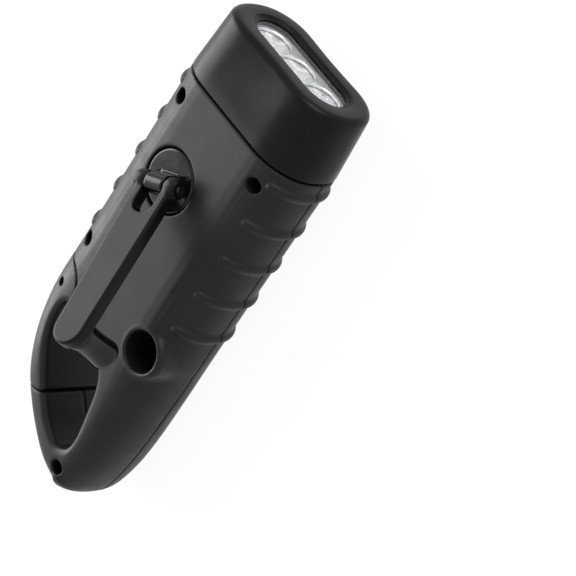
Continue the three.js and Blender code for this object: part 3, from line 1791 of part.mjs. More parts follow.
function plateScrew(index) {
  const { x, y } = plateScrews[index];
  const seat = plateHighZ + seatClearance;
  const screw = turned(
    [
      [0, plateHighZ - plateScrewLength],
      [plateScrewRadius, plateHighZ - plateScrewLength],
      [plateScrewRadius, seat],
      [plateScrewHead, seat],
      [plateScrewHead, seat + plateScrewHeadHeight],
      [0, seat + plateScrewHeadHeight],
    ],
    x,
    y,
    12,
  );
  return node(`plate_screw_${index + 1}`, screw, steel);
}

// Battery, board, switch and button

function battery() {
  const geometry = new THREE.LatheGeometry(
    [
      [0, 0],
      [batteryRadius, 0],
      [batteryRadius, batteryLength - batteryCapHeight],
      [batteryCapRadius, batteryLength - batteryCapHeight],
      [batteryCapRadius, batteryLength],
      [0, batteryLength],
    ].map(([radius, height]) => new THREE.Vector2(radius, height)),
    24,
  );
  geometry.rotateZ(-Math.PI / 2);
  geometry.translate(batteryBackX, batteryY, batteryZ);
  return node("battery", solidOf(geometry), batterySleeve);
}

function mainBoard() {
  const board = block(
    [boardBackX, -boardSpineReach, boardLowZ],
    [boardFrontX, boardGateReach, boardHighZ],
  );
  const parts = [
    block(
      [hubX - chipLength / 2, hubY - chipWidth / 2, boardLowZ + boardThickness / 2],
      [hubX + chipLength / 2, hubY + chipWidth / 2, boardHighZ + chipHeight],
    ),
    post(
      capacitorRadius,
      boardLowZ + boardThickness / 2,
      boardHighZ + capacitorHeight,
      hubX - chipLength,
      boardGateReach - 2 * capacitorRadius,
    ),
  ];
  const holes = plateScrews.map(({ x, y }) =>
    post(postRadius + slideClearance, boardLowZ - overrun, boardHighZ + overrun, x, y, 16),
  );
  return node("main_board", cutBy(joined([board, ...parts]), holes), boardGreen);
}

function powerSwitch() {
  const housing = block(
    [buttonX - switchLength / 2, switchBackY, boardHighZ + seatClearance],
    [buttonX + switchLength / 2, boardGateReach, boardHighZ + seatClearance + switchHeight],
  );
  const plunger = alongY(plungerRadius, plungerLength + overrun, 16).translate([
    buttonX,
    boardGateReach + plungerLength / 2 - overrun / 2,
    buttonZ,
  ]);
  return node("power_switch", housing.add(plunger), darkSteel);
}

function powerButton() {
  const wallInnerY = gripHalfWidthAt(buttonZ, wall);
  const flangeOuterY = wallInnerY - wall / 2;
  const flangeInnerY = flangeOuterY - buttonFlangeThickness;
  const stemEndY = boardGateReach + plungerLength + buttonTravel + seatClearance;
  const cap = buttonPrism(0, flangeOuterY - overrun / 2, gripHalfWidth + buttonProud);
  const flange = block(
    [buttonX - buttonLength / 2 - buttonFlange, flangeInnerY, buttonZ - buttonHeight / 2 - buttonFlange],
    [buttonX + buttonLength / 2 + buttonFlange, flangeOuterY, buttonZ + buttonHeight / 2 + buttonFlange],
  );
  const stemLength = flangeInnerY - stemEndY + overrun / 2;
  const stemMiddleY = stemEndY + stemLength / 2;
  const stem = alongY(buttonStemRadius, stemLength, 16).translate([buttonX, stemMiddleY, buttonZ]);
  return node("power_button", joined([cap, flange, stem]), glossBlack);
}

const flashlight = new THREE.Group();
flashlight.add(
  headBezel(),
  lens(),
  lensSeal(),
  reflector(),
  led(0),
  led(1),
  led(2),
  ledBoard(),
  ...crankShell(),
  solarShell(),
  solarBezel(),
  solarCell(),
  gate(),
  gatePin(),
  gateSpring(),
  ...bodyScrews.map((_, index) => bodyScrew(index)),
  axleBush(),
  crankGear(),
  firstIdlerGear(),
  secondIdlerGear(),
  idlerShaft("idler_shaft_1", firstIdler, bossLowZ),
  idlerShaft("idler_shaft_2", secondIdler, firstWheelZ + wheelFace + restClearance),
  rotorPinion(),
  rotorShaft(),
  rotorMagnet(),
  generatorCoil(),
  generatorCan(),
  gearPlate(),
  ...plateScrews.map((_, index) => plateScrew(index)),
  battery(),
  mainBoard(),
  powerSwitch(),
  powerButton(),
  hubFrame(
    crankHub(),
    crankAxle(),
    hubScrew(),
    armFrame(crankArm(), hingePin(), knob(), knobScrew()),
  ),
);

export default flashlight;
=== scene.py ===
"""Looks of a hand crank flashlight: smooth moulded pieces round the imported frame, their
materials, a white floor, soft light and the photograph's camera. Modelled in millimetres."""
import functools
import itertools
import json
import math

import bmesh
import bpy
import numpy as np
from mathutils import Matrix, Vector

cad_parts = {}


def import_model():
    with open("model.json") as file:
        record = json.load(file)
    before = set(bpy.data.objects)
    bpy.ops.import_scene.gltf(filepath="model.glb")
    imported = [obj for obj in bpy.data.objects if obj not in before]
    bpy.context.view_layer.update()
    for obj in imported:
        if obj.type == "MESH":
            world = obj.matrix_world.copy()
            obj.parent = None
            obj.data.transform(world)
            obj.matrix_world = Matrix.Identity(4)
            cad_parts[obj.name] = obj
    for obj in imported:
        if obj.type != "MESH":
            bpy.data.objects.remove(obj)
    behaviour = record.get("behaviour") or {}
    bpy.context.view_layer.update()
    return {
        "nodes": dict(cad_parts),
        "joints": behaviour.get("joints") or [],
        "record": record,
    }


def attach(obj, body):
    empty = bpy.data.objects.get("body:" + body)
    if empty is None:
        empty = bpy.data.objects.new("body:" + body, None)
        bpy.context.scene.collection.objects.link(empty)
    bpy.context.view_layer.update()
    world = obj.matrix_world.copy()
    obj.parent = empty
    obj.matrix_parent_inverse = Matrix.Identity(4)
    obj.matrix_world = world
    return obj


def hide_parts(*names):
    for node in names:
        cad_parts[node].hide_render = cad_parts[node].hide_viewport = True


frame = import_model()
scene = bpy.context.scene

MM = 0.001

# Body form
TIP_X = -75.0
RIM_X = 75.0
HEAD_LENGTH = 21.3
HEAD_HALF_WIDTH = 27.0
HEAD_HALF_DEPTH = 14.7
RIM_HALF_WIDTH = 25.5
RIM_HALF_DEPTH = 13.9
RIM_ROUNDING = 2.0
RIM_WAIST = 0.7
WAIST_SHARE = 0.75
GRIP_HALF_WIDTH = 27.05
GRIP_HALF_DEPTH = 14.4
EDGE_BLEND = 15.0
TAIL_EDGE_BLEND = 9.2
EDGE_POWER = 2.27
TAIL_LENGTH = 63.8
TAIL_BLEND_SHARE = 0.8
BEND_REACH = 8
BEND_SHARE = 0.85
BEND_SMOOTHING = 60
TAIL_THINNING = 0.9
THINNING_LENGTH = 45.0
WALL = 1.8
PARTING_Z = 12.5
PARTING_GAP = 0.25
SEAM_GAP = 0.6
SEAT_GAP = 0.05
RUNNING_GAP = 0.06
FIT_GAP = 0.25

SEAM_X = RIM_X - HEAD_LENGTH
SHELL_FRONT_X = SEAM_X - SEAM_GAP / 2
SKIRT_X = SEAM_X + SEAM_GAP / 2
TAIL_START_X = TIP_X + TAIL_LENGTH
MIDDLE_Z = HEAD_HALF_DEPTH
CRANK_FACE_Z = MIDDLE_Z + GRIP_HALF_DEPTH
SOLAR_FACE_Z = MIDDLE_Z - GRIP_HALF_DEPTH
FAR = 200.0
FIELD_LIMIT = 8.0
LEAST_LEVEL = 0.05
LEAST_SLOPE = 0.002

# Roundings of edges
LOOP_EDGE = 2.2
SEAM_EDGE = 0.5
ROUND_EDGE = 0.45
GATE_EDGE = 0.4
HOLE_EDGE = 0.35
SMALL_EDGE = 0.3
FINE_EDGE = 0.2
THIN_EDGE = 0.15
SLOT_EDGE = 0.06

# Grip ribs
RIB_PLACES = [SEAM_X - 4.93 - i * 13.27 for i in range(5)]
RIB_HALF_WIDTH = 1.35
RIB_HEIGHT = 0.95
RIB_LEAST_HEIGHT = 0.01
RIB_FADE = 1.7
RIB_BLEND = 0.35
RIB_TOP_REACH = 20.9
RIB_UNDERSIDE_REACH = 19.6

# Carabiner
LOOP_BACK_X = TIP_X + 12.8
LOOP_LENGTH = 35.2
LOOP_FRONT_X = LOOP_BACK_X + LOOP_LENGTH
LOOP_LOW_Y = 11.75 - GRIP_HALF_WIDTH
LOOP_WIDTH = 30.3
LOOP_WALL = 2.0
GATE_ROOT_RADIUS = 8.0
GATE_ROOT_ARC = (-116, 0)
GATE_REACH = 33.6
GATE_NOSE_ARC = (172, 214)
GATE_GAP = 0.3
GATE_PIN_RADIUS = 1.25
GATE_PIN_SUNK = 2.7
GATE_PIN_CHAMFER = 0.2
GATE_CLEAR_SWING = math.radians(-32)
TONGUE_RADIUS = 4.2
TONGUE_LAP = 1.0
TONGUE_UNDER_GAP = 0.3
TONGUE_LOW_Z = MIDDLE_Z - 4.5
TONGUE_HIGH_Z = TONGUE_LOW_Z + 7.4
GATE_SLOT_HIGH_Z = TONGUE_HIGH_Z + 3.9

# Crank
HUB_RECESS_RADIUS = 9.6
HUB_RECESS_Z = CRANK_FACE_Z - 3.4
HUB_RADIUS = 9.3
HUB_TOP_Z = HUB_RECESS_Z + 3.3
HUB_BOTTOM_Z = HUB_TOP_Z - 3.0
HUB_SPIGOT_RADIUS = 3.0
HUB_SPIGOT_LOW_Z = 18.3
HUB_FLOOR = 1.6
HUB_CHAMFER = 0.55
HUB_EDGE = 0.12
BUSH_WALL = 1.31
AXLE_BORE_RADIUS = 1.55
SCREW_BORE_RADIUS = 0.95
HUB_SCREW_REACH = 6.6
HUB_SCREW_RADIUS = 2.1
HUB_SCREW_HEIGHT = 0.8
HUB_SCREW_SHANK = 0.9
HINGE_FROM_HUB = 1.0
EAR_RADIUS = 3.1
EAR_WIDTH = 4.4
LUG_WIDTH = 6.8
LUG_BLEND = 0.5
EAR_INNER_Y = LUG_WIDTH / 2 + FIT_GAP
EAR_OUTER_Y = EAR_INNER_Y + EAR_WIDTH
HINGE_PIN_RADIUS = 1.0
HINGE_PIN_HEAD = 2.2
HINGE_PIN_HEAD_HEIGHT = 0.7
ARM_THICKNESS = 4.0
ARM_ROOT_HALF = 6.6
ARM_TIP_HALF = 5.4
ARM_EDGE = 0.75
ARM_NOTCH_END = 8.0 + EAR_INNER_Y / 2
ARM_LIFT = math.radians(30)
KNOB_REACH = 46.9
KNOB_RADIUS = 4.5
KNOB_LENGTH = 15.0
KNOB_POST_RADIUS = 2.0
KNOB_POST_LENGTH = 11.0
KNOB_SCREW_DEPTH = 6.3

# Knob's well and the raised rim round it
WELL_RADIUS = 6.2
WELL_WALL = 1.5
WELL_REACH = 49.1
WELL_FLOOR_Z = 14.55
WELL_FLOOR_WALL = 1.4
HUMP_RADIUS = 8.2
HUMP_ROUNDING = 2.5
HUMP_BLEND = 0.9

# Body screws
SCREW_PLACES = [(45.9, 18.5), (45.9, -18.5), (-8.8, 20.2), (-66.7, -15.5)]
SCREW_HOLE_RADIUS = 2.25
SCREW_BOSS_WALL = 1.2
SCREW_SEAT_Z = PARTING_Z + 4.4
SCREW_HEAD_RADIUS = 1.95
SCREW_HEAD_HEIGHT = 1.5
SCREW_SHANK_RADIUS = 1.05
SCREW_SHANK_DEPTH = 10.5
SCREW_SLOT_HALF = 0.28
SCREW_CROSS_REACH = 1.15
PILOT_RADIUS = 1.17
PILOT_DEPTH = 10.8
PILOT_BOSS_RADIUS = 3.1

# Solar panel
PANEL_FRONT_X = SEAM_X - 4.9
PANEL_LENGTH = 57.0
PANEL_HALF_WIDTH = 16.5
PANEL_CORNER = 4.0
PANEL_BOW = 4.6
PANEL_BOW_SHARE = 0.62
PANEL_POCKET = 2.6
PANEL_TRAY_TOP_Z = SOLAR_FACE_Z + 4.2
PANEL_TRAY_WALL = 1.4
CELL_MIDDLE_X = PANEL_FRONT_X - 26.75
CELL_HALF_LENGTH = 20.75
CELL_HALF_WIDTH = 10.25
CELL_CORNER = 2.2

# Lamp
CUP_PITCH = 11.8
CUP_PLACES = (-CUP_PITCH, 0, CUP_PITCH)
CUP_RADIUS = 5.8
CUP_MARGIN = 0.7
CUP_THROAT = 2.75
CUP_DEPTH = 8.2
LEDGE_WIDTH = 0.7
LEDGE_DEPTH = 0.8
LEDGE_CORNER_WIDTH = 0.15
LEDGE_CORNER_DEPTH = 0.1
WINDOW_POCKET = 1.7
LENS_FRONT_X = RIM_X - 1.5
LIP_BACK_X = LENS_FRONT_X - 0.6
FLANGE_FRONT_X = LIP_BACK_X - SEAT_GAP
FLANGE_BACK_X = FLANGE_FRONT_X - 0.8
FLANGE_WIDTH = 1.0
REFLECTOR_FRONT_X = FLANGE_BACK_X - SEAT_GAP
REFLECTOR_WALL = 0.7
HEAD_WALL = 2.2
HEAD_FRONT = 4.4
SPIGOT_LENGTH = 3.2
SPIGOT_WALL = 1.5

# Button
BUTTON_X = SEAM_X - 13.7
BUTTON_Z = PARTING_Z - 0.5
BUTTON_HALF_LENGTH = 2.75
BUTTON_HALF_HEIGHT = 1.6
BUTTON_CORNER = 1.07
BUTTON_TOP_Y = GRIP_HALF_WIDTH + 0.8
BUTTON_CAP_LOW_Y = 23.6
BUTTON_HOLE_LOW_Y = 20.0
BUTTON_PLATE_MARGIN = 0.9
BUTTON_PLATE_Y = (23.17, 24.17)
BUTTON_STEM_RADIUS = 1.1
BUTTON_STEM_Y = (21.45, 23.35)

# Sample spacing and limits of the moulded skins
SHELL_CELL = 0.45
GATE_CELL = 0.36
FINE_CELL = 0.2
ARM_CELL = 0.27
SMALL_CELL = 0.22
SCREW_CELL = 0.1
BUTTON_CELL = 0.16
BODY_SPACE_Y = 28.5
GATE_SPACE = ((-62, -4, SOLAR_FACE_Z), (-16, 28, CRANK_FACE_Z))
LENS_SPACE_Y, LENS_SPACE_Z = 20.0, 8.7
BEZEL_SPACE_Y = 17.0
HUB_SPACE = 9.4
HUB_SCREW_SPACE = 2.2
BUTTON_SPACE = (4, 3)
BUTTON_SPACE_LOW_Y = 21
SCREW_SPACE = 2.1
ARM_SPACE_X = 3.2

# Finer forms of the visible pieces
HEAD_QUARTER_STEPS = 24
HEAD_FLAT_STEPS = 14
HEAD_ROUND_STEPS = 8
SKIRT_FACE = 0.6
LENS_RISE = 0.7
LENS_DOME_RADIUS = 5.3
LENS_DOME_ROOT = 0.4
CUP_STEPS = 16
ROUND_SIDES = 96
LED_RADIUS = 2.4
LED_FLANGE_RADIUS = 2.45
LED_FLANGE_HEIGHT = 0.9
LED_SUNK = 1.25
LED_HEIGHT = 7.4
BEZEL_INSET = 0.6
BEZEL_LIP = 1.6
BEZEL_STEP = 0.6
BEZEL_STEP_EDGE = 0.1
BEZEL_RIDGE_SUNK = 0.02
BEZEL_WINDOW_MARGIN = 1.2
BEZEL_WINDOW_STEP = 1.1
BEZEL_RIDGE_FROM_CELL = 2.7
BEZEL_RIDGE_HALF = 0.75
EAR_BARREL = 0.35
EAR_BLEND = 0.6
ARM_NOTCH_OPEN = 5.0
ARM_NOTCH_EDGE = 0.4
PIN_HEAD_ROUND = 0.35
HUB_SLOT_TURN = math.radians(35)
HUB_SLOT_HALF = 0.32
HUB_SLOT_FLOOR = 0.35
CROSS_FLOOR = 0.45
KNOB_WAIST = 0.3
KNOB_ROUNDING = 2.4
KNOB_TOP_ROUND = 0.9
KNOB_SHOULDER = 1.3
# Radius, and height above the knob's bottom
KNOB_RECESS = [(2.45, 0), (2.15, 0.3), (2.15, 2.55), (1.15, 2.55), (1.15, 3.75)]
SCREW_TURNS = (12, 51, 33, 78)
SMALL_SIDES = 40

# Camera of the photograph's left view, in the object's frame
PHOTO_WIDTH_PIXELS = 576
SENSOR_WIDTH = 36
CAMERA_FOCAL_PIXELS = 2355.18
CAMERA_PLACE = (329.75, -347.2, 486.08)
CAMERA_AXES = (
    (0.5, -0.54029, -0.67682),
    (0.72469, 0.68892, -0.01458),
    (0.47415, -0.48319, 0.73601),
)

# Light
FLOOR_RADIUS = 2500.0
FLOOR_SIDES = 64
FLOOR_DROP = 0.02
FLOOR_COLOUR = (0.12, 0.12, 0.12, 1)
FLOOR_GLOW = 0.93
WORLD_DIFFUSE = 0.4
# Name, direction, distance and size in mm, radiance
LAMPS = [
    ("gate_side", (-0.25, 0.9, 0.42), 900, (900, 700), 7.0),
    ("lamp_end", (0.95, -0.15, 0.3), 900, (500, 500), 5.0),
]


# Places taken from the frame

def joint_place(name):
    joint = next(row for row in frame["joints"] if row["name"] == name)
    return [value / MM for value in joint["pos_m"]]


HUB_X, HUB_Y, _ = joint_place("crank_spin")
_, _, HINGE_Z = joint_place("arm_fold")
GATE_X, GATE_Y, _ = joint_place("gate_swing")
KNOB_X, KNOB_Y, _ = joint_place("knob_spin")
CRANK_AZIMUTH = math.atan2(KNOB_Y - HUB_Y, KNOB_X - HUB_X)
WELL_X = HUB_X + WELL_REACH * math.cos(CRANK_AZIMUTH)
WELL_Y = HUB_Y + WELL_REACH * math.sin(CRANK_AZIMUTH)

HUB_TO_ROW = Matrix.Translation((HUB_X, HUB_Y, 0)) @ Matrix.Rotation(CRANK_AZIMUTH, 4, "Z")
HINGE_TO_ROW = HUB_TO_ROW @ Matrix.Translation((HINGE_FROM_HUB, 0, HINGE_Z))
ARM_TO_ROW = HINGE_TO_ROW @ Matrix.Rotation(-ARM_LIFT, 4, "Y")

# Outlines, in shares of the sizes that they follow

TAIL_SHARES = [
    (-0.3, 1), (0, 1), (0.24, 0.998), (0.42, 0.932), (0.578, 0.802), (0.72, 0.6),
    (0.832, 0.33), (0.928, 0), (0.984, -0.285), (1, -0.56), (0.987, -0.7),
    (0.945, -0.813), (0.865, -0.888), (0.721, -0.95), (0.53, -0.984), (0.295, -0.998),
    (0, -1), (-0.3, -1),
]
LOOP_SHARES = [
    (0, 0.77), (0.02, 0.571), (0.0625, 0.406), (0.128, 0.274), (0.216, 0.168),
    (0.341, 0.099), (0.511, 0.056), (0.682, 0.017), (0.824, 0), (0.9375, 0.033),
    (1, 0.142), (0.98, 0.257), (0.923, 0.389), (0.824, 0.538), (0.7245, 0.66),
    (0.597, 0.785), (0.4545, 0.901), (0.3125, 0.977), (0.156, 1), (0.028, 0.95),
]


def spline(points, closed, steps):
    """Points along a Catmull-Rom curve."""
    count = len(points)
    t = (np.arange(steps) / steps)[:, None]
    curve = []
    for i in range(count if closed else count - 1):
        order = range(i - 1, i + 3)
        a, b, c, d = points[[k % count if closed else min(max(k, 0), count - 1) for k in order]]
        curve.append(
            0.5 * (2 * b + (c - a) * t + (2 * a - 5 * b + 4 * c - d) * t**2
                   + (3 * b - a - 3 * c + d) * t**3)
        )
    return np.vstack(curve if closed else [*curve, points[-1:]])


def arc(x, y, radius, start, end, steps=12):
    angles = np.radians(np.linspace(start, end, steps + 1))
    return [(x + radius * math.cos(a), y + radius * math.sin(a)) for a in angles]


def body_outline():
    tail = (TAIL_START_X, 0) + np.array(TAIL_SHARES) * (-TAIL_LENGTH, GRIP_HALF_WIDTH)
    curve = spline(tail, False, 12)
    return np.vstack([[(FAR, GRIP_HALF_WIDTH)], curve, [(FAR, -GRIP_HALF_WIDTH)]])


def loop_outline():
    points = (LOOP_FRONT_X, LOOP_LOW_Y) + np.array(LOOP_SHARES) * (-LOOP_LENGTH, LOOP_WIDTH)
    return spline(points, True, 6)


def gate_outline():
    """Region between the gate's root and its nose, both rounds about its pivot."""
    outside = GRIP_HALF_WIDTH + GATE_ROOT_RADIUS
    return [
        *arc(GATE_X, GATE_Y, GATE_ROOT_RADIUS, *GATE_ROOT_ARC, 20),
        (GATE_X + GATE_ROOT_RADIUS, outside),
        (GATE_X - GATE_REACH, outside),
        *arc(GATE_X, GATE_Y, GATE_REACH, *GATE_NOSE_ARC, 16),
    ]


def panel_outline():
    back = PANEL_FRONT_X - PANEL_LENGTH
    half = PANEL_HALF_WIDTH
    a, b, c = np.array([(back + PANEL_BOW, half), (back, PANEL_BOW_SHARE * half), (back, 0)])
    t = np.linspace(0, 1, 13)[:, None]
    curve = (1 - t) ** 2 * a + 2 * t * (1 - t) * b + t**2 * c
    corner = arc(PANEL_FRONT_X - PANEL_CORNER, half - PANEL_CORNER, PANEL_CORNER, 0, 90)
    upper = np.vstack([corner, curve])
    return np.vstack([upper, upper[-2::-1] * (1, -1)])


# Fields: signed distances on a grid of sample points, negative inside

class Grid:
    def __init__(self, low, high, cell):
        self.cell = cell
        axes = [np.arange(a - 1.5 * cell, b + 2.5 * cell, cell) for a, b in zip(low, high)]
        self.low = np.array([axis[0] for axis in axes])
        self.x, self.y, self.z = np.meshgrid(*axes, indexing="ij", sparse=True)

    def plan(self, outline):
        """Signed distance to an outline in plan."""
        return outline_field(outline, self.x, self.y)[0]

    def skin(self, field):
        points, faces = surface_of(field)
        return points * self.cell + self.low, faces


def surface_of(field):
    """One point in each cell that the surface crosses, at the mean of its crossings, and
    one quad round each grid edge that it crosses."""
    inside = field < 0
    shape = np.array(field.shape) - 1
    corners = [
        inside[a:a + shape[0], b:b + shape[1], c:c + shape[2]]
        for a, b, c in itertools.product((0, 1), repeat=3)
    ]
    crossed = np.any(corners, 0) & ~np.all(corners, 0)
    cells = np.argwhere(crossed)
    index = np.full(crossed.shape, -1)
    index[crossed] = np.arange(len(cells))
    total = np.zeros((len(cells), 3))
    hits = np.zeros(len(cells))
    faces = []
    for axis in range(3):
        along, u, v = np.roll(np.eye(3, dtype=int), -axis, 0)
        for a, b in itertools.product((0, 1), repeat=2):
            start = cells + a * u + b * v
            end = start + along
            here, there = field[tuple(start.T)], field[tuple(end.T)]
            change = (here < 0) != (there < 0)
            share = here[change] / (here[change] - there[change])
            total[change] += start[change] + share[:, None] * along
            hits[change] += 1
        here, there = (inside.take(range(k, k + shape[axis]), axis) for k in (0, 1))
        for leaving in (True, False):
            edges = np.argwhere((here == leaving) & (there != leaving))
            low = np.minimum(edges - u, edges - v).min(1)
            edges = edges[(low >= 0) & (edges < shape).all(1)]
            ring = [edges - u - v, edges - v, edges, edges - u]
            quads = np.stack([index[tuple(corner.T)] for corner in ring], 1)
            faces.append(quads if leaving else quads[:, ::-1])
    return total / hits[:, None], np.vstack(faces)


def joined(a, b, blend=0.0):
    if not blend:
        return np.minimum(a, b)
    share = np.clip(0.5 + 0.5 * (b - a) / blend, 0, 1)
    return b + (a - b) * share - blend * share * (1 - share)


def common(a, b, blend=0.0):
    return -joined(-a, -b, blend)


def cut(a, b, blend=0.0):
    return common(a, -b, blend)


def rounded(side, end, rounding):
    """Field of a prism or round from its side and end distances, its rim rounded."""
    a, b = side + rounding, end + rounding
    return np.minimum(np.maximum(a, b), 0) + np.hypot(np.maximum(a, 0), np.maximum(b, 0)) - rounding


def disc(grid, x, y, radius):
    return np.hypot(grid.x - x, grid.y - y) - radius


def oblong(x, y, half_x, half_y, corner):
    return rounded(np.abs(x) - half_x, np.abs(y) - half_y, corner)


def span(place, low, high):
    """Signed distance to the space between two parallel planes."""
    return np.maximum(low - place, place - high)


def outline_field(points, x, y, values=None):
    """Signed distance to a closed outline, and the value at the nearest place on it."""
    points = np.array(points, float)
    values = np.zeros(len(points)) if values is None else values
    nearest = np.full(np.broadcast(x, y).shape, FAR**2)
    value = np.zeros_like(nearest)
    inside = np.zeros(nearest.shape, bool)
    for i, (ax, ay) in enumerate(points):
        j = (i + 1) % len(points)
        bx, by = points[j]
        ex, ey = bx - ax, by - ay
        share = np.clip(((x - ax) * ex + (y - ay) * ey) / max(ex * ex + ey * ey, 1e-12), 0, 1)
        square = (x - ax - share * ex) ** 2 + (y - ay - share * ey) ** 2
        closer = square < nearest
        nearest = np.where(closer, square, nearest)
        value = np.where(closer, values[i] + share * (values[j] - values[i]), value)
        if ay != by:
            inside ^= ((ay > y) != (by > y)) & (x < ex * (y - ay) / ey + ax)
    return np.where(inside, -1, 1) * np.sqrt(nearest), value


def smooth_step(share):
    t = np.clip(share, 0, 1)
    return t * t * (3 - 2 * t)


def edge_blends(outline):
    """Width of the rounded edge along the outline, limited by the outline's own bends."""
    share = smooth_step((TAIL_START_X - outline[:, 0]) / (TAIL_BLEND_SHARE * TAIL_LENGTH))
    blends = EDGE_BLEND + (TAIL_EDGE_BLEND - EDGE_BLEND) * share
    for i in range(BEND_REACH + 1, len(outline) - BEND_REACH - 1):
        a, b, c = outline[i - BEND_REACH:i + BEND_REACH + 1:BEND_REACH]
        twice = abs((b[0] - a[0]) * (c[1] - a[1]) - (b[1] - a[1]) * (c[0] - a[0]))
        sides = math.dist(a, b) * math.dist(b, c) * math.dist(c, a)
        blends[i] = min(blends[i], BEND_SHARE * sides / max(2 * twice, 1e-6))
    for _ in range(BEND_SMOOTHING):
        mean = (blends[:-2] + blends[1:-1] + blends[2:]) / 3
        blends[1:-1] = np.minimum(mean, blends[1:-1])
    return blends


class BodyGrid(Grid):
    """Sample points with the plan distances that the housing's pieces share."""

    def __init__(self, low, high, cell=SHELL_CELL):
        super().__init__(low, high, cell)
        outline = body_outline()
        self.depth, self.blend = outline_field(outline, self.x, self.y, edge_blends(outline))
        self.loop = self.plan(loop_outline())
        self.gate = self.plan(gate_outline())

    def pillow(self, inset=0.0):
        """The body's pillow form, drawn in on every side by an inset."""
        thinned = np.maximum(0, TIP_X + THINNING_LENGTH - self.x) / THINNING_LENGTH
        half = GRIP_HALF_DEPTH - inset - TAIL_THINNING * thinned
        width = self.blend - inset
        across = np.maximum(0, (self.blend + self.depth) / width)
        up = np.abs(self.z - MIDDLE_Z) / half
        level = (across**EDGE_POWER + up**EDGE_POWER) ** (1 / EDGE_POWER)
        slope = np.hypot(across ** (EDGE_POWER - 1) / width, up ** (EDGE_POWER - 1) / half)
        slope /= np.maximum(level, LEAST_LEVEL) ** (EDGE_POWER - 1)
        return np.clip((level - 1) / np.maximum(slope, LEAST_SLOPE), -FIELD_LIMIT, FIELD_LIMIT)

    def form(self):
        """Outside of the whole body, with its ribs and the rim of the knob's well."""
        whole = body = self.pillow()
        reach = np.where(self.z > MIDDLE_Z, RIB_TOP_REACH, RIB_UNDERSIDE_REACH)
        height = RIB_HEIGHT * smooth_step((np.abs(self.y) - reach) / RIB_FADE)
        for place in RIB_PLACES:
            across = (self.x - place) / RIB_HALF_WIDTH * np.maximum(height, RIB_LEAST_HEIGHT)
            whole = joined(whole, np.hypot(across, body) - height, RIB_BLEND)
        hump = rounded(disc(self, WELL_X, WELL_Y, HUMP_RADIUS), self.z - CRANK_FACE_Z, HUMP_ROUNDING)
        hump = common(hump, WELL_FLOOR_Z - WELL_FLOOR_WALL - self.z)
        return joined(whole, hump, HUMP_BLEND)

    def hollow(self):
        inner = common(self.pillow(WALL), LOOP_WALL - np.minimum(self.loop, self.gate))
        well = disc(self, WELL_X, WELL_Y, WELL_RADIUS + WELL_WALL)
        return cut(inner, common(well, WELL_FLOOR_Z - WELL_FLOOR_WALL - self.z))

    def tongue(self):
        """Eye and bar that the forked gate turns about."""
        along = span(self.x, GATE_X, GATE_X + GATE_ROOT_RADIUS + TONGUE_LAP)
        bar = np.maximum(np.abs(self.y - GATE_Y) - TONGUE_RADIUS, along)
        plan = joined(disc(self, GATE_X, GATE_Y, TONGUE_RADIUS), bar)
        height = span(self.z, TONGUE_LOW_Z, TONGUE_HIGH_Z)
        bore = disc(self, GATE_X, GATE_Y, GATE_PIN_RADIUS + RUNNING_GAP)
        return cut(common(plan, height, FINE_EDGE), bore)

    def button_hole(self, gap):
        plan = oblong(
            self.x - BUTTON_X, self.z - BUTTON_Z,
            BUTTON_HALF_LENGTH + gap, BUTTON_HALF_HEIGHT + gap, BUTTON_CORNER + gap,
        )
        return common(plan, BUTTON_HOLE_LOW_Y - self.y)


# Objects

def placed(name, data):
    made = bpy.data.objects.new(name, data)
    scene.collection.objects.link(made)
    return made


def added(name, mesh, slot, body, *replaced):
    """A mesh in place of CAD nodes, riding on their body."""
    made = placed(name, mesh)
    mesh.materials.append(material_of(slot))
    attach(made, body)
    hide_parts(*replaced)
    return made


def piece(skin, slot, body, *replaced, name=None, to_row=Matrix(), sharp=None):
    """A smooth piece from points in mm and faces, in the row's frame or in one of its own."""
    name = name or f"{replaced[0]}_skin"
    points, faces = skin
    matrix = np.array(to_row)
    points = (points @ matrix[:3, :3].T + matrix[:3, 3]) * MM
    mesh = bpy.data.meshes.new(name)
    mesh.from_pydata(points.tolist(), [], [list(map(int, face)) for face in faces])
    mesh.validate()
    mesh.shade_smooth()
    if sharp:
        mesh.set_sharp_from_angle(angle=math.radians(sharp))
    added(name, mesh, slot, body, *replaced)


def loft(rings):
    """Quads between matched rings, the last of them joined to the first."""
    size = len(rings[0])
    faces = []
    for r in range(len(rings)):
        here, there = r * size, (r + 1) % len(rings) * size
        for i in range(size):
            j = (i + 1) % size
            faces.append([here + i, here + j, there + j, there + i])
    return np.vstack(rings), faces


def lathe(profile, sides):
    """A closed profile of (radius, height) turned about Z, with the points that fall
    together on the axis made one."""
    angles = np.linspace(0, -2 * math.pi, sides, endpoint=False)
    points, faces = loft([[(r * math.cos(a), r * math.sin(a), z) for r, z in profile] for a in angles])
    keys = np.round(points / 1e-5).astype(np.int64)
    _, first, same = np.unique(keys, axis=0, return_index=True, return_inverse=True)
    faces = [list(dict.fromkeys(same.reshape(-1)[face])) for face in faces]
    return points[first], [face for face in faces if len(face) > 2]


# Materials

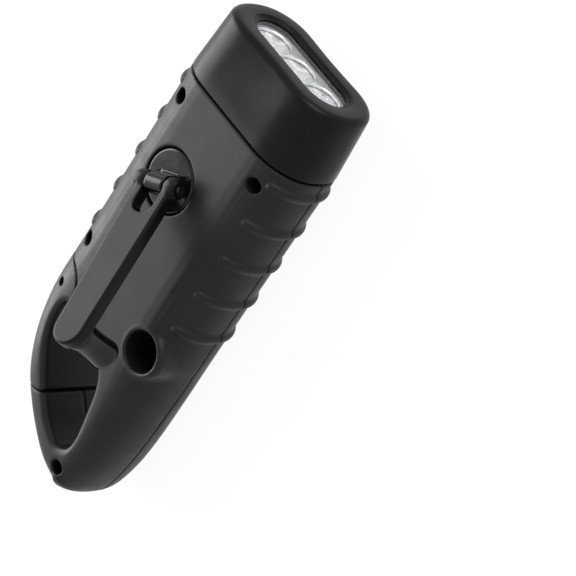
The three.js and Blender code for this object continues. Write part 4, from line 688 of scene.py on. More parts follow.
# slot: (dark and light colour, lowest and highest roughness, metallic, IOR, and in mm
#        the size of the mottling, the size of the grain and its depth)
FINISHES = {
    "shell_plastic": ((0.008, 0.008, 0.0085), (0.013, 0.013, 0.0135), (0.4, 0.5), 0, 1.46, 9, 0.16, 0.012),
    "head_plastic": ((0.004, 0.004, 0.0042), (0.006, 0.006, 0.0062), (0.28, 0.36), 0, 1.46, 12, 0.2, 0.006),
    "gloss_black_plastic": (
        (0.004, 0.004, 0.0045), (0.006, 0.006, 0.0065), (0.1, 0.17), 0, 1.46, 8, 0.8, 0.002,
    ),
    "black_rubber": ((0.012, 0.012, 0.012), (0.02, 0.02, 0.02), (0.7, 0.82), 0, 1.45, 3, 0.2, 0.02),
    "bright_reflector": ((0.93, 0.94, 0.95), (0.97, 0.97, 0.98), (0.12, 0.18), 0.6, 1.45, 6, 1.5, 0.002),
    "led_resin": ((0.86, 0.88, 0.85), (0.95, 0.96, 0.94), (0.05, 0.1), 0, 1.5, 2, 1.0, 0.002),
    "white_board": ((0.72, 0.72, 0.7), (0.8, 0.8, 0.78), (0.5, 0.6), 0, 1.45, 3, 0.3, 0.01),
    "green_board": ((0.02, 0.12, 0.05), (0.035, 0.18, 0.08), (0.35, 0.5), 0, 1.5, 2, 0.4, 0.01),
    "bright_steel": ((0.24, 0.24, 0.25), (0.33, 0.33, 0.34), (0.22, 0.36), 1, 1.45, 1.5, 0.12, 0.006),
    "dark_steel": ((0.04, 0.04, 0.043), (0.075, 0.075, 0.08), (0.34, 0.5), 1, 1.45, 1.2, 0.15, 0.01),
    "bearing_brass": ((0.55, 0.38, 0.14), (0.68, 0.5, 0.22), (0.26, 0.4), 1, 1.45, 1.5, 0.15, 0.006),
    "gear_nylon": ((0.7, 0.67, 0.57), (0.8, 0.77, 0.68), (0.4, 0.52), 0, 1.5, 3, 0.25, 0.01),
    "coil_copper": ((0.42, 0.13, 0.04), (0.62, 0.24, 0.09), (0.3, 0.45), 1, 1.45, 1, 0.3, 0.03),
    "magnet_ceramic": ((0.06, 0.06, 0.065), (0.1, 0.1, 0.105), (0.5, 0.65), 0, 1.5, 1.5, 0.2, 0.015),
    "battery_sleeve": ((0.02, 0.11, 0.06), (0.035, 0.16, 0.09), (0.2, 0.3), 0, 1.5, 6, 1.2, 0.006),
}
# Where most of a noise's values lie
NOISE_MIDDLE = (0.3, 0.7)
MOTTLING_STOPS = (0.35, 0.65)
CELL_STRIPES = 9
CELL_DARK = (0.25, 0.085, 0.036)
CELL_LIGHT = (0.38, 0.14, 0.062)
CELL_LINE = (0.46, 0.22, 0.13)
CELL_LINE_SHARE = 0.028
# Painted shade: thin dark rings on the reflector round the cups' mouths (radii and width in mm, and their
# colour)
CUP_SHADE_RINGS = (5.55, 5.95)
CUP_SHADE_RING_WIDTH = 0.035
CUP_SHADE_COLOUR = (0.03, 0.03, 0.032)
LENS_ALPHA = (0.02, 0.25)
LENS_TINTS = ((0.9, 0.92, 0.93), (0.95, 0.96, 0.97))
WIRE_PITCH = 0.4
WIRE_DEPTH = 0.12
DARK_SPECULAR = {"shell_plastic": 0.26, "head_plastic": 0.14, "gloss_black_plastic": 0.3}


class Tree:
    """A node tree, and short ways to add to it."""

    def __init__(self, owner):
        owner.use_nodes = True
        self.tree = owner.node_tree

    def put(self, socket, value):
        """A value for a socket, or a link to it from another."""
        if isinstance(value, bpy.types.NodeSocket):
            self.tree.links.new(value, socket)
        else:
            socket.default_value = value

    def node(self, kind, inputs=(), **settings):
        """A new node, with its inputs by name or number."""
        node = self.tree.nodes.new("ShaderNode" + kind)
        for name, value in settings.items():
            setattr(node, name, value)
        for key, value in dict(inputs).items():
            self.put(node.inputs[key], value)
        return node

    def maths(self, operation, *values):
        return self.node("Math", enumerate(values), operation=operation).outputs[0]

    def spread(self, value, low, high, start=0, end=1):
        """A value between start and end spread over the range from low to high."""
        inputs = {"Value": value, "From Min": start, "From Max": end, "To Min": low, "To Max": high}
        return self.node("MapRange", inputs).outputs["Result"]

    def shade(self, default, output, shader):
        """The tree's own shader in place of the default one."""
        nodes = self.tree.nodes
        nodes.remove(nodes[default])
        self.put(nodes[output].inputs["Surface"], shader)


class Finish(Tree):
    """A slot's material, with the parts that most finishes share."""

    def __init__(self, slot):
        self.material = bpy.data.materials.new(slot)
        super().__init__(self.material)
        self.shader = self.tree.nodes["Principled BSDF"]
        self.place = self.node("TexCoord").outputs["Object"]

    def set(self, **values):
        for name, value in values.items():
            self.put(self.shader.inputs[name.replace("_", " ")], value)

    def noise(self, size, detail=3.0):
        """Noise whose lumps are about a size in mm."""
        inputs = {"Scale": 0.5 / (size * MM), "Detail": detail, "Vector": self.place}
        return self.node("TexNoise", inputs).outputs["Fac"]

    def roughness(self, size, low, high):
        self.set(Roughness=self.spread(self.noise(size), low, high, *NOISE_MIDDLE))

    def ramp(self, value, places, colours):
        ramp = self.node("ValToRGB", {"Fac": value})
        for point, place, colour in zip(ramp.color_ramp.elements, places, colours):
            point.position = place
            point.color = (*colour, 1)
        return ramp.outputs["Color"]

    def mixed(self, share, first, colour):
        """What comes from a socket, with a colour over a share of it."""
        mix = self.node("Mix", {0: share}, data_type="RGBA")
        base, over = [socket for socket in mix.inputs if socket.type == "RGBA"]
        self.put(base, first)
        self.put(over, (*colour, 1))
        return next(socket for socket in mix.outputs if socket.type == "RGBA")

    def bump(self, height, depth):
        inputs = {"Strength": 1.0, "Distance": depth * MM, "Height": height}
        self.set(Normal=self.node("Bump", inputs).outputs["Normal"])

    def along(self, axis):
        """One coordinate of the place on the object, in mm."""
        split = self.node("SeparateXYZ", {"Vector": self.place})
        return self.maths("MULTIPLY", split.outputs[axis], 1 / MM)


def common_finish(slot):
    dark, light, rough, metallic, ior, mottling, grain, depth = FINISHES[slot]
    finish = Finish(slot)
    mottled = finish.ramp(finish.noise(mottling), MOTTLING_STOPS, (dark, light))
    finish.roughness(mottling / 3, *rough)
    finish.bump(finish.noise(grain, 2.0), depth)
    finish.set(Base_Color=mottled, Metallic=metallic, IOR=ior)
    if slot in DARK_SPECULAR:
        finish.set(Specular_IOR_Level=DARK_SPECULAR[slot])
    return finish


def solar_finish(slot):
    """Copper-brown cell with thin lines across it, under a clear film."""
    finish = Finish(slot)
    stripe = finish.maths("MULTIPLY", finish.along("X"), CELL_STRIPES / (2 * CELL_HALF_LENGTH))
    line = finish.maths("LESS_THAN", finish.maths("PINGPONG", stripe, 0.5), CELL_LINE_SHARE)
    mottled = finish.ramp(finish.noise(30), NOISE_MIDDLE, (CELL_DARK, CELL_LIGHT))
    colour = finish.mixed(line, mottled, CELL_LINE)
    finish.roughness(3, 0.22, 0.32)
    finish.bump(finish.maths("ADD", line, finish.noise(0.5)), 0.01)
    finish.set(Base_Color=colour, Metallic=0.35, IOR=1.5, Coat_Weight=0.4, Coat_Roughness=0.04)
    return finish


def reflector_finish(slot):
    """Bright metal, with thin dark rings of painted shade where the cups' mouths meet the lens."""
    finish = common_finish(slot)
    up = finish.maths("SUBTRACT", finish.along("Z"), MIDDLE_Z)
    square = finish.maths("MULTIPLY", up, up)
    # Painted shade lines round each cup's mouth, darkening the base colour
    dark = 0.0
    for y in CUP_PLACES:
        side = finish.maths("SUBTRACT", finish.along("Y"), y)
        radius = finish.maths("SQRT", finish.maths("MULTIPLY_ADD", side, side, square))
        for ring in CUP_SHADE_RINGS:
            shade_line = finish.maths("COMPARE", radius, ring, CUP_SHADE_RING_WIDTH)
            dark = finish.maths("MAXIMUM", dark, shade_line)
    colour = finish.shader.inputs["Base Color"].links[0].from_socket
    finish.set(Base_Color=finish.mixed(dark, colour, CUP_SHADE_COLOUR))
    return finish


def lens_finish(slot):
    """Clear plastic: see-through face on, bright at a grazing angle."""
    finish = Finish(slot)
    facing = finish.node("LayerWeight", {"Blend": 0.25}).outputs["Facing"]
    tint = finish.ramp(finish.noise(10), NOISE_MIDDLE, LENS_TINTS)
    finish.roughness(4, 0.02, 0.04)
    finish.set(Alpha=finish.spread(facing, *LENS_ALPHA), Base_Color=tint, IOR=1.49)
    return finish


def coil_finish(slot):
    """Enamelled wire laid in turns."""
    finish = common_finish(slot)
    inputs = {"Scale": 0.3 / (WIRE_PITCH * MM), "Vector": finish.place}
    turns = finish.node("TexWave", inputs, bands_direction="Z")
    finish.bump(turns.outputs["Fac"], WIRE_DEPTH)
    return finish


SPECIAL_FINISHES = {
    "solar_film": solar_finish,
    "bright_reflector": reflector_finish,
    "clear_lens": lens_finish,
    "coil_copper": coil_finish,
}


@functools.cache
def material_of(slot):
    return SPECIAL_FINISHES.get(slot, common_finish)(slot).material


# Housing

def whole_housing(grid):
    """Outside of the two shells as one form, with what is cut right through both."""
    whole = cut(cut(grid.form(), grid.loop, LOOP_EDGE), grid.gate, GATE_EDGE)
    whole = common(whole, grid.x - SHELL_FRONT_X, SEAM_EDGE)
    return cut(whole, grid.button_hole(FIT_GAP), FINE_EDGE)


def screw_discs(grid, radius):
    return np.minimum.reduce([disc(grid, x, y, radius) for x, y in SCREW_PLACES])


def crank_shell():
    grid = BodyGrid((TIP_X, -BODY_SPACE_Y, PARTING_Z), (SHELL_FRONT_X, BODY_SPACE_Y, CRANK_FACE_Z))
    parting = PARTING_Z + PARTING_GAP / 2 - grid.z
    shell = common(whole_housing(grid), parting, SMALL_EDGE)
    recess = common(disc(grid, HUB_X, HUB_Y, HUB_RECESS_RADIUS), HUB_RECESS_Z - grid.z)
    well = common(disc(grid, WELL_X, WELL_Y, WELL_RADIUS), WELL_FLOOR_Z - grid.z)
    shell = cut(cut(shell, recess, HOLE_EDGE), well, 2 * HOLE_EDGE)
    cup = disc(grid, HUB_X, HUB_Y, HUB_RECESS_RADIUS + WALL)
    hollow = cut(grid.hollow(), common(cup, HUB_RECESS_Z - HUB_FLOOR - grid.z))
    hollow = cut(hollow, screw_discs(grid, SCREW_HOLE_RADIUS + SCREW_BOSS_WALL))
    holes = common(screw_discs(grid, SCREW_HOLE_RADIUS), SCREW_SEAT_Z - grid.z)
    shell = cut(shell, holes, HOLE_EDGE)
    shell = cut(shell, disc(grid, HUB_X, HUB_Y, HUB_SPIGOT_RADIUS + BUSH_WALL))
    form = joined(cut(shell, hollow), common(grid.tongue(), parting))
    nodes = ("crank_shell", "crank_tail", "knob_well")
    piece(grid.skin(form), "shell_plastic", "housing", *nodes)


def solar_shell():
    grid = BodyGrid((TIP_X, -BODY_SPACE_Y, SOLAR_FACE_Z), (SHELL_FRONT_X, BODY_SPACE_Y, PARTING_Z))
    parting = grid.z - PARTING_Z + PARTING_GAP / 2
    shell = common(whole_housing(grid), parting, SMALL_EDGE)
    panel = grid.plan(panel_outline())
    shell = cut(shell, common(panel, grid.z - SOLAR_FACE_Z - PANEL_POCKET), HOLE_EDGE)
    hollow = cut(grid.hollow(), common(panel - PANEL_TRAY_WALL, grid.z - PANEL_TRAY_TOP_Z))
    hollow = cut(hollow, screw_discs(grid, PILOT_BOSS_RADIUS))
    pilots = common(screw_discs(grid, PILOT_RADIUS), SCREW_SEAT_Z - PILOT_DEPTH - grid.z)
    shell = cut(cut(shell, hollow), pilots)
    form = joined(shell, common(grid.tongue(), parting))
    piece(grid.skin(form), "shell_plastic", "housing", "solar_shell")


def gate():
    grid = BodyGrid(*GATE_SPACE, GATE_CELL)
    form = cut(common(grid.form(), grid.gate + GATE_GAP, GATE_EDGE), grid.loop, LOOP_EDGE)
    half = TONGUE_RADIUS + FIT_GAP
    far = 1.5 * GATE_ROOT_RADIUS
    cosine, sine = math.cos(GATE_CLEAR_SWING), math.sin(GATE_CLEAR_SWING)
    turned = [(x * cosine + half * sine, x * sine - half * cosine) for x in (0, far)]
    outline = [(GATE_X + x, GATE_Y + y) for x, y in [*turned, (far, half), (0, half)]]
    slot = joined(grid.plan(outline), disc(grid, GATE_X, GATE_Y, half))
    height = span(grid.z, TONGUE_LOW_Z - TONGUE_UNDER_GAP, GATE_SLOT_HIGH_Z)
    form = cut(form, common(slot, height), FINE_EDGE)
    form = cut(form, disc(grid, GATE_X, GATE_Y, GATE_PIN_RADIUS + SEAT_GAP), THIN_EDGE)
    piece(grid.skin(form), "shell_plastic", "gate", "gate")


def gate_pin():
    """Plain pin, its ends chamfered and sunk below the rounded skin."""
    low, high = SOLAR_FACE_Z + GATE_PIN_SUNK, CRANK_FACE_Z - GATE_PIN_SUNK
    edge = GATE_PIN_RADIUS - GATE_PIN_CHAMFER
    profile = [(0, low), (edge, low), (GATE_PIN_RADIUS, low + GATE_PIN_CHAMFER)]
    profile += [(GATE_PIN_RADIUS, high - GATE_PIN_CHAMFER), (edge, high), (0, high)]
    place = Matrix.Translation((GATE_X, GATE_Y, 0))
    skin = lathe(profile, SMALL_SIDES)
    piece(skin, "dark_steel", "gate", "gate_pin", to_row=place, sharp=35)


# Head and lamp

def head_ring(x, half_width, half_depth, inset, waist):
    """Ring round the head's section, with its long sides pulled in at the waist."""
    flat, blend, half = half_width - EDGE_BLEND, EDGE_BLEND - inset, half_depth - inset
    angles = np.linspace(0, math.pi / 2, HEAD_QUARTER_STEPS + 1)
    power = 2 / EDGE_POWER
    side = [(flat + blend * max(0, math.cos(a)) ** power, half * math.sin(a) ** power) for a in angles]
    top = [(y, half) for y in np.linspace(flat, -flat, HEAD_FLAT_STEPS + 1)[1:-1]]
    upper = side + top + [(-y, z) for y, z in reversed(side)]
    ring = upper + [(-y, -z) for y, z in upper[1:-1]]
    points = []
    for y, z in ring:
        across = min(1, abs(y) / (WAIST_SHARE * half_width))
        pull = waist * math.cos(across * math.pi / 2) ** 2
        points.append((x, y, MIDDLE_Z + z - math.copysign(pull, z)))
    return points


def head_station(x, inset):
    """Ring of the head's outside, which tapers from the skirt to the rim."""
    share = (x - SKIRT_X) / (RIM_X - SKIRT_X)
    half_width = HEAD_HALF_WIDTH + (RIM_HALF_WIDTH - HEAD_HALF_WIDTH) * share
    half_depth = HEAD_HALF_DEPTH + (RIM_HALF_DEPTH - HEAD_HALF_DEPTH) * share
    return head_ring(x, half_width, half_depth, inset, RIM_WAIST * share)


def window_ring(x, margin):
    """Ring of the lamp window, with its points matched to those of a head ring."""
    flat = HEAD_HALF_WIDTH - EDGE_BLEND
    radius = CUP_RADIUS + CUP_MARGIN + margin
    points = []
    for _, y, z in head_ring(x, HEAD_HALF_WIDTH, HEAD_HALF_DEPTH, 0, 0):
        beyond = max(0, abs(y) - flat)
        angle = math.atan2(abs(z - MIDDLE_Z) / HEAD_HALF_DEPTH, beyond / EDGE_BLEND)
        reach = min(1, abs(y) / flat) * CUP_PITCH + radius * math.cos(angle)
        up = math.copysign(radius * math.sin(angle), z - MIDDLE_Z)
        points.append((x, math.copysign(reach, y), MIDDLE_Z + up))
    return points


def spigot_ring(x, inset):
    return head_ring(x, GRIP_HALF_WIDTH, GRIP_HALF_DEPTH, inset, 0)


def edge_rings(maker, x, inset, radius, steps=4):
    """Rings from a flat face at x over its rounded edge, toward -X for a negative radius."""
    return [
        maker(x + radius * (1 - math.cos(a)), inset + abs(radius) * (1 - math.sin(a)))
        for a in np.linspace(0, math.pi / 2, steps + 1)
    ]


def head():
    outer = WALL + FIT_GAP
    ledge_x = RIM_X - LEDGE_DEPTH
    sides = np.linspace(SKIRT_X + SEAM_EDGE, RIM_X - RIM_ROUNDING, 6)[1:-1]
    rings = [
        spigot_ring(SKIRT_X - SPIGOT_LENGTH, outer + SPIGOT_WALL),
        spigot_ring(SKIRT_X - SPIGOT_LENGTH, outer),
        spigot_ring(SKIRT_X, outer),
        head_station(SKIRT_X, SEAM_EDGE + SKIRT_FACE),
        *edge_rings(head_station, SKIRT_X, 0, SEAM_EDGE),
        *[head_station(x, 0) for x in sides],
        *edge_rings(head_station, RIM_X, 0, -RIM_ROUNDING, HEAD_ROUND_STEPS)[::-1],
        *edge_rings(window_ring, RIM_X, 2 * LEDGE_WIDTH, -HOLE_EDGE),
        window_ring(ledge_x, LEDGE_WIDTH + SEAT_GAP),
        window_ring(ledge_x, LEDGE_CORNER_WIDTH + SEAT_GAP),
        window_ring(ledge_x - LEDGE_CORNER_DEPTH, SEAT_GAP),
        window_ring(LIP_BACK_X, SEAT_GAP),
        window_ring(LIP_BACK_X, WINDOW_POCKET),
        window_ring(RIM_X - HEAD_FRONT, WINDOW_POCKET),
        head_station(RIM_X - HEAD_FRONT, HEAD_WALL),
        head_station(SKIRT_X, HEAD_WALL + GRIP_HALF_WIDTH - HEAD_HALF_WIDTH),
        spigot_ring(SKIRT_X, outer + SPIGOT_WALL),
    ]
    piece(loft(rings), "head_plastic", "housing", "head_bezel", name="head_skin", sharp=32)


def stadium(y, z, margin):
    """Plan distance to the lamp window, an oblong round the three cups."""
    beyond = np.maximum(np.abs(y) - CUP_PITCH, 0)
    return np.hypot(beyond, z - MIDDLE_Z) - (CUP_RADIUS + CUP_MARGIN + margin)


def lens():
    low = FLANGE_BACK_X, -LENS_SPACE_Y, MIDDLE_Z - LENS_SPACE_Z
    high = LENS_FRONT_X + LENS_RISE, LENS_SPACE_Y, MIDDLE_Z + LENS_SPACE_Z
    grid = Grid(low, high, SMALL_CELL)
    window = stadium(grid.y, grid.z, -SEAT_GAP)
    plate = span(grid.x, FLANGE_BACK_X, LENS_FRONT_X)
    flange = span(grid.x, FLANGE_BACK_X, FLANGE_FRONT_X)
    form = joined(common(window, plate), common(stadium(grid.y, grid.z, FLANGE_WIDTH), flange))
    ball = (LENS_DOME_RADIUS**2 + LENS_RISE**2) / (2 * LENS_RISE)
    middle = LENS_FRONT_X + LENS_RISE - ball
    for y in CUP_PLACES:
        away = np.hypot(grid.y - y, grid.z - MIDDLE_Z)
        dome = common(np.hypot(grid.x - middle, away) - ball, LENS_FRONT_X - LENS_DOME_ROOT - grid.x)
        form = joined(form, dome)
    piece(grid.skin(form), "clear_lens", "housing", "lens", sharp=40)


def reflector():
    """Three bright cups in one front plate, as a skin given its thickness behind."""
    mesh = bmesh.new()
    edges = []
    angles = np.linspace(0, 2 * math.pi, ROUND_SIDES, endpoint=False)
    for y in CUP_PLACES:
        rings = []
        for share in np.linspace(0, 1, CUP_STEPS + 1):
            x = REFLECTOR_FRONT_X - CUP_DEPTH * (1 - share)
            radius = math.sqrt(CUP_THROAT**2 + (CUP_RADIUS**2 - CUP_THROAT**2) * share)
            places = [(x, y + radius * math.cos(a), MIDDLE_Z + radius * math.sin(a)) for a in angles]
            rings.append([mesh.verts.new([value * MM for value in place]) for place in places])
        for low, high in zip(rings, rings[1:]):
            for i in range(ROUND_SIDES):
                j = (i + 1) % ROUND_SIDES
                mesh.faces.new((low[i], low[j], high[j], high[i])).smooth = True
        mouth = rings[-1]
        edges += [mesh.edges.get(pair) for pair in zip(mouth, mouth[1:] + mouth[:1])]
    outline = [
        mesh.verts.new((REFLECTOR_FRONT_X * MM, y * MM, z * MM))
        for _, y, z in window_ring(0, FLANGE_WIDTH - SEAT_GAP)
    ]
    edges += [mesh.edges.new(pair) for pair in zip(outline, outline[1:] + outline[:1])]
    bmesh.ops.triangle_fill(mesh, use_beauty=True, edges=edges, normal=(1, 0, 0))
    bmesh.ops.recalc_face_normals(mesh, faces=mesh.faces)
    plate = [face for face in mesh.faces if len(face.verts) == 3]
    if plate[0].normal.x < 0:
        bmesh.ops.reverse_faces(mesh, faces=mesh.faces)
    data = bpy.data.meshes.new("reflector_skin")
    mesh.to_mesh(data)
    mesh.free()
    made = added("reflector_skin", data, "bright_reflector", "housing", "reflector")
    thick = made.modifiers.new("thickness", "SOLIDIFY")
    thick.thickness = REFLECTOR_WALL * MM
    thick.offset = -1


def leds():
    base = REFLECTOR_FRONT_X - CUP_DEPTH - LED_SUNK
    step = base + LED_FLANGE_HEIGHT
    shoulder = base + LED_HEIGHT - LED_RADIUS
    profile = [(0, base), (LED_FLANGE_RADIUS, base), (LED_FLANGE_RADIUS, step), (LED_RADIUS, step)]
    profile += arc(0, shoulder, LED_RADIUS, 0, 90, 10)[:-1] + [(0, shoulder + LED_RADIUS)]
    to_x = Matrix(((0, 0, 1, 0), (1, 0, 0, 0), (0, 1, 0, 0), (0, 0, 0, 1)))
    skin = lathe(profile, SMALL_SIDES)
    for index, y in enumerate(CUP_PLACES, 1):
        led = f"led_{index}"
        place = Matrix.Translation((0, y, MIDDLE_Z)) @ to_x
        piece(skin, "led_resin", "housing", led, name=f"{led}_dome", to_row=place, sharp=35)


# Solar panel

def solar_bezel():
    low, high = SOLAR_FACE_Z + BEZEL_INSET, SOLAR_FACE_Z + PANEL_POCKET - SEAT_GAP
    back = PANEL_FRONT_X - PANEL_LENGTH
    grid = Grid((back, -BEZEL_SPACE_Y, low), (PANEL_FRONT_X, BEZEL_SPACE_Y, high), FINE_CELL)
    panel = grid.plan(panel_outline())
    cell = oblong(grid.x - CELL_MIDDLE_X, grid.y, CELL_HALF_LENGTH, CELL_HALF_WIDTH, CELL_CORNER)
    form = rounded(panel + FIT_GAP, span(grid.z, low, high), SMALL_EDGE)
    form = cut(form, common(panel + BEZEL_LIP, grid.z - low - BEZEL_STEP), BEZEL_STEP_EDGE)
    ridge = np.abs(cell - BEZEL_RIDGE_FROM_CELL) - BEZEL_RIDGE_HALF
    form = joined(form, common(ridge, span(grid.z, low + BEZEL_RIDGE_SUNK, high)), THIN_EDGE)
    window = common(cell - BEZEL_WINDOW_MARGIN, grid.z - low - BEZEL_WINDOW_STEP)
    form = cut(form, window, BEZEL_STEP_EDGE)
    skin = grid.skin(cut(form, cell - SEAT_GAP))
    piece(skin, "gloss_black_plastic", "housing", "solar_bezel", sharp=50)


# Crank

def crank_hub():
    high = HUB_SPACE, HUB_SPACE, HINGE_Z + EAR_RADIUS
    grid = Grid((-HUB_SPACE, -HUB_SPACE, HUB_SPIGOT_LOW_Z), high, FINE_CELL)
    radius = np.hypot(grid.x, grid.y)
    plate = common(radius - HUB_RADIUS, span(grid.z, HUB_BOTTOM_Z, HUB_TOP_Z), THIN_EDGE)
    chamfer = (radius - HUB_RADIUS + grid.z - HUB_TOP_Z + HUB_CHAMFER) / math.sqrt(2)
    plate = common(plate, chamfer, HUB_EDGE)
    across = np.abs(grid.y) - LUG_WIDTH / 2
    eye = np.hypot(grid.x - HINGE_FROM_HUB, grid.z - HINGE_Z)
    foot = np.abs(grid.x - HINGE_FROM_HUB) - EAR_RADIUS
    foot = np.maximum(foot, span(grid.z, HUB_BOTTOM_Z, HINGE_Z))
    lug = joined(rounded(eye - EAR_RADIUS, across, SMALL_EDGE), rounded(foot, across, SMALL_EDGE))
    form = joined(plate, lug, LUG_BLEND)
    form = joined(form, common(radius - HUB_SPIGOT_RADIUS, span(grid.z, HUB_SPIGOT_LOW_Z, HUB_TOP_Z)))
    form = cut(form, eye - HINGE_PIN_RADIUS - RUNNING_GAP)
    form = cut(form, common(radius - AXLE_BORE_RADIUS, grid.z - HUB_BOTTOM_Z))
    form = cut(form, disc(grid, HUB_SCREW_REACH, 0, SCREW_BORE_RADIUS))
    skin = grid.skin(form)
    piece(skin, "gloss_black_plastic", "crank", "crank_hub", to_row=HUB_TO_ROW)


def slotted(grid, low, height, head_radius, shank_radius, shank_low):
    """Field of a screw with a low domed head, upright about the grid's Z."""
    radius = np.hypot(grid.x, grid.y)
    dome = height / 2 + head_radius**2 / (2 * height)
    ball = np.hypot(radius, grid.z - low - height + 2 * dome) - 2 * dome
    head = rounded(radius - head_radius, np.maximum(ball, low - grid.z), THIN_EDGE)
    shank = np.maximum(radius - shank_radius, span(grid.z, shank_low, low + height / 2))
    return joined(head, shank)


def hub_screw():
    low = HUB_TOP_Z + SEAT_GAP
    top = low + HUB_SCREW_HEIGHT
    side = HUB_SCREW_SPACE
    grid = Grid((-side, -side, HUB_BOTTOM_Z), (side, side, top), SCREW_CELL)
    shank_low = HUB_BOTTOM_Z + SEAT_GAP
    form = slotted(grid, low, HUB_SCREW_HEIGHT, HUB_SCREW_RADIUS, HUB_SCREW_SHANK, shank_low)
    across = np.abs(grid.x * math.sin(HUB_SLOT_TURN) + grid.y * math.cos(HUB_SLOT_TURN))
    slot = np.maximum(across - HUB_SLOT_HALF, low + HUB_SLOT_FLOOR - grid.z)
    skin = grid.skin(cut(form, slot, SLOT_EDGE))
    place = HUB_TO_ROW @ Matrix.Translation((HUB_SCREW_REACH, 0, 0))
    piece(skin, "bright_steel", "crank", "hub_screw", name="hub_screw_head", to_row=place)


def crank_arm():
    half = ARM_THICKNESS / 2
    post_end = -half - KNOB_POST_LENGTH
    high = KNOB_REACH + ARM_TIP_HALF, EAR_OUTER_Y, EAR_RADIUS
    grid = Grid((-ARM_SPACE_X, -EAR_OUTER_Y, post_end), high, ARM_CELL)
    tip = arc(KNOB_REACH, 0, ARM_TIP_HALF, -90, 90, 24)
    plan = grid.plan([(0, -ARM_ROOT_HALF), *tip, (0, ARM_ROOT_HALF)])
    form = rounded(plan, np.abs(grid.z) - half, ARM_EDGE)
    radius = np.hypot(grid.x, grid.z)
    middle = (EAR_INNER_Y + EAR_OUTER_Y) / 2
    bulge = EAR_BARREL * ((np.abs(grid.y) - middle) / (EAR_WIDTH / 2)) ** 2
    ear = rounded(radius - EAR_RADIUS + bulge, np.abs(np.abs(grid.y) - middle) - EAR_WIDTH / 2, ROUND_EDGE)
    form = joined(form, ear, EAR_BLEND)
    long = ARM_NOTCH_END / 2
    notch = oblong(
        grid.x - long + ARM_NOTCH_OPEN, grid.y, long + ARM_NOTCH_OPEN, EAR_INNER_Y, 0.9 * EAR_INNER_Y
    )
    form = cut(form, notch, ARM_NOTCH_EDGE)
    post = np.maximum(disc(grid, KNOB_REACH, 0, KNOB_POST_RADIUS), span(grid.z, post_end, 0))
    form = joined(form, post, SMALL_EDGE)
    bore = disc(grid, KNOB_REACH, 0, SCREW_BORE_RADIUS)
    form = cut(form, np.maximum(bore, grid.z - post_end - KNOB_SCREW_DEPTH))
    skin = grid.skin(cut(form, radius - HINGE_PIN_RADIUS - SEAT_GAP))
    piece(skin, "head_plastic", "arm", "crank_arm", to_row=ARM_TO_ROW)


def hinge_pin():
    """Headed pin whose other end is peened to a low dome."""
    head = EAR_OUTER_Y + SEAT_GAP
    end = EAR_OUTER_Y - SEAT_GAP
    face, flat = -head - HINGE_PIN_HEAD_HEIGHT, HINGE_PIN_HEAD - PIN_HEAD_ROUND
    profile = [(0, face), (flat, face)]
    profile += arc(flat, -head - PIN_HEAD_ROUND, PIN_HEAD_ROUND, -90, 0, 6)
    profile += [(HINGE_PIN_HEAD, -head), (HINGE_PIN_RADIUS, -head)]
    profile += arc(HINGE_PIN_RADIUS - SMALL_EDGE, end - SMALL_EDGE, SMALL_EDGE, 0, 70, 6)
    skin = lathe(profile + [(0, end)], SMALL_SIDES)
    place = ARM_TO_ROW @ Matrix.Rotation(math.radians(-90), 4, "X")
    piece(skin, "dark_steel", "arm", "hinge_pin", to_row=place, sharp=35)


def knob():
    """Free-turning handle, drawn in a little at its middle, open below round its screw."""
    top = -ARM_THICKNESS / 2 - FIT_GAP
    bottom = top - KNOB_LENGTH
    bore = KNOB_POST_RADIUS + RUNNING_GAP
    run = KNOB_LENGTH - KNOB_SHOULDER - KNOB_ROUNDING
    waist = [
        (KNOB_RADIUS - KNOB_WAIST * math.sin(math.pi * t), top - KNOB_SHOULDER - t * run)
        for t in np.linspace(0, 1, 17)
    ]
    profile = [(bore, top)]
    profile += arc(KNOB_RADIUS - KNOB_TOP_ROUND, top - KNOB_TOP_ROUND, KNOB_TOP_ROUND, 90, 10, 6) + waist
    profile += arc(KNOB_RADIUS - KNOB_ROUNDING, bottom + KNOB_ROUNDING, KNOB_ROUNDING, -8, -90, 10)
    profile += [(radius, bottom + up) for radius, up in KNOB_RECESS]
    profile += [(bore, profile[-1][1])]
    place = ARM_TO_ROW @ Matrix.Translation((KNOB_REACH, 0, 0))
    skin = lathe(profile[::-1], ROUND_SIDES)
    piece(skin, "gloss_black_plastic", "knob", "knob", to_row=place, sharp=35)


# Screws and button

def body_screws():
    low = SCREW_SEAT_Z + SEAT_GAP
    shank_low = SCREW_SEAT_Z - SCREW_SHANK_DEPTH
    side = SCREW_SPACE
    grid = Grid((-side, -side, shank_low), (side, side, low + SCREW_HEAD_HEIGHT), SCREW_CELL)
    form = slotted(grid, low, SCREW_HEAD_HEIGHT, SCREW_HEAD_RADIUS, SCREW_SHANK_RADIUS, shank_low)
    x, y = np.abs(grid.x), np.abs(grid.y)
    arms = [np.maximum(a - SCREW_SLOT_HALF, b - SCREW_CROSS_REACH) for a, b in ((x, y), (y, x))]
    cross = np.maximum(np.minimum(*arms), low + CROSS_FLOOR - grid.z)
    skin = grid.skin(cut(form, cross, SLOT_EDGE))
    for index, ((x, y), turn) in enumerate(zip(SCREW_PLACES, SCREW_TURNS), 1):
        place = Matrix.Translation((x, y, 0)) @ Matrix.Rotation(math.radians(turn), 4, "Z")
        screw = f"body_screw_{index}"
        piece(skin, "dark_steel", "housing", screw, name=f"{screw}_head", to_row=place)


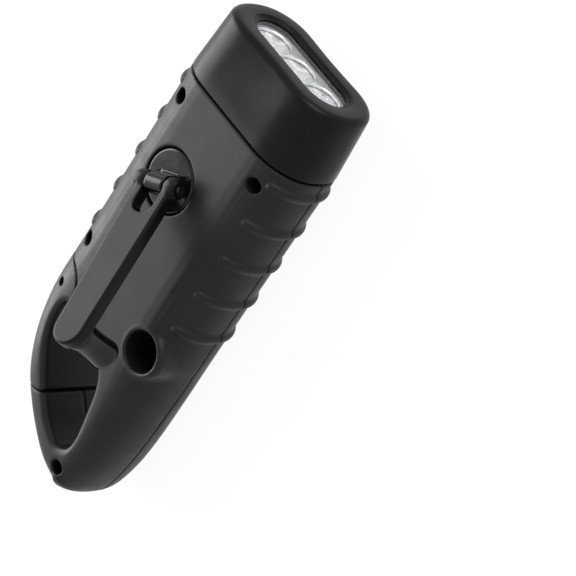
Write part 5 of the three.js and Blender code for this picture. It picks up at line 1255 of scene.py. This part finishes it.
def power_button():
    reach_x, reach_z = BUTTON_SPACE
    low = BUTTON_X - reach_x, BUTTON_SPACE_LOW_Y, BUTTON_Z - reach_z
    high = BUTTON_X + reach_x, BUTTON_TOP_Y, BUTTON_Z + reach_z
    grid = Grid(low, high, BUTTON_CELL)
    x, z = grid.x - BUTTON_X, grid.z - BUTTON_Z
    plan = oblong(x, z, BUTTON_HALF_LENGTH, BUTTON_HALF_HEIGHT, BUTTON_CORNER)
    cap = rounded(plan, span(grid.y, BUTTON_CAP_LOW_Y, BUTTON_TOP_Y), ROUND_EDGE)
    margin = BUTTON_PLATE_MARGIN
    plate = oblong(x, z, BUTTON_HALF_LENGTH + margin, BUTTON_HALF_HEIGHT + margin, SMALL_EDGE)
    plate = np.maximum(plate, span(grid.y, *BUTTON_PLATE_Y))
    stem = np.maximum(np.hypot(x, z) - BUTTON_STEM_RADIUS, span(grid.y, *BUTTON_STEM_Y))
    skin = grid.skin(joined(joined(cap, plate), stem))
    piece(skin, "gloss_black_plastic", "button", "power_button")


def dress_cad():
    """The record's finishes on the CAD nodes that stay."""
    for part in frame["record"]["subparts"]:
        node = frame["nodes"][part["node"]]
        material = material_of(part["material_slot"])
        if not node.material_slots:
            node.data.materials.append(material)
        for holder in node.material_slots:
            holder.material = material


# Surroundings

def white_for_camera(tree, kind, level, dim):
    """Light, brighter to camera, glossy and see-through rays than to the others."""
    rays = tree.node("LightPath").outputs
    seen = rays["Is Camera Ray"]
    for name in ("Is Glossy Ray", "Is Transmission Ray"):
        seen = tree.maths("MAXIMUM", seen, rays[name])
    inputs = {"Color": (1, 1, 1, 1), "Strength": tree.spread(seen, dim, level)}
    return tree.node(kind, inputs).outputs[0]


def floor():
    """Dark round floor that glows white to the camera and keeps the object's shadow."""
    mesh = bpy.data.meshes.new("floor")
    ring = arc(0, 0, FLOOR_RADIUS, 0, 360, FLOOR_SIDES)[:-1]
    mesh.from_pydata([(x * MM, y * MM, -FLOOR_DROP * MM) for x, y in ring], [], [range(len(ring))])
    material = bpy.data.materials.new("floor_white")
    tree = Tree(material)
    paint = tree.node("BsdfDiffuse", {"Color": FLOOR_COLOUR})
    glow = white_for_camera(tree, "Emission", FLOOR_GLOW, 0)
    both = tree.node("AddShader", {0: paint.outputs[0], 1: glow})
    tree.shade("Principled BSDF", "Material Output", both.outputs[0])
    mesh.materials.append(material)
    placed("floor", mesh)


def world():
    scene.world = bpy.data.worlds.new("studio")
    tree = Tree(scene.world)
    light = white_for_camera(tree, "Background", 1.0, WORLD_DIFFUSE)
    tree.shade("Background", "World Output", light)


def softbox(name, direction, distance, size, radiance):
    """Rectangular lamp that faces the object from a direction."""
    lamp = bpy.data.lights.new(name, "AREA")
    lamp.shape = "RECTANGLE"
    lamp.size, lamp.size_y = (side * MM for side in size)
    lamp.energy = radiance * math.pi * lamp.size * lamp.size_y
    made = placed(name, lamp)
    towards = Vector(direction).normalized()
    made.location = (Vector((0, 0, MIDDLE_Z)) + towards * distance) * MM
    made.rotation_euler = towards.to_track_quat("Z", "Y").to_euler()


def camera():
    """The photograph's left view, from a fit of the body's outline."""
    data = bpy.data.cameras.new("camera")
    data.sensor_width = SENSOR_WIDTH
    data.lens = CAMERA_FOCAL_PIXELS * SENSOR_WIDTH / PHOTO_WIDTH_PIXELS
    scene.camera = placed("camera", data)
    turn = Matrix(tuple(zip(*CAMERA_AXES))).to_4x4()
    scene.camera.matrix_world = Matrix.Translation(Vector(CAMERA_PLACE) * MM) @ turn


for make in (
    crank_shell, solar_shell, gate, gate_pin, head, lens, reflector, leds, solar_bezel, crank_hub,
    hub_screw, crank_arm, hinge_pin, knob, body_screws, power_button, dress_cad,
    floor, world, camera,
):
    make()
for lamp in LAMPS:
    softbox(*lamp)
scene.view_settings.view_transform = "Standard"
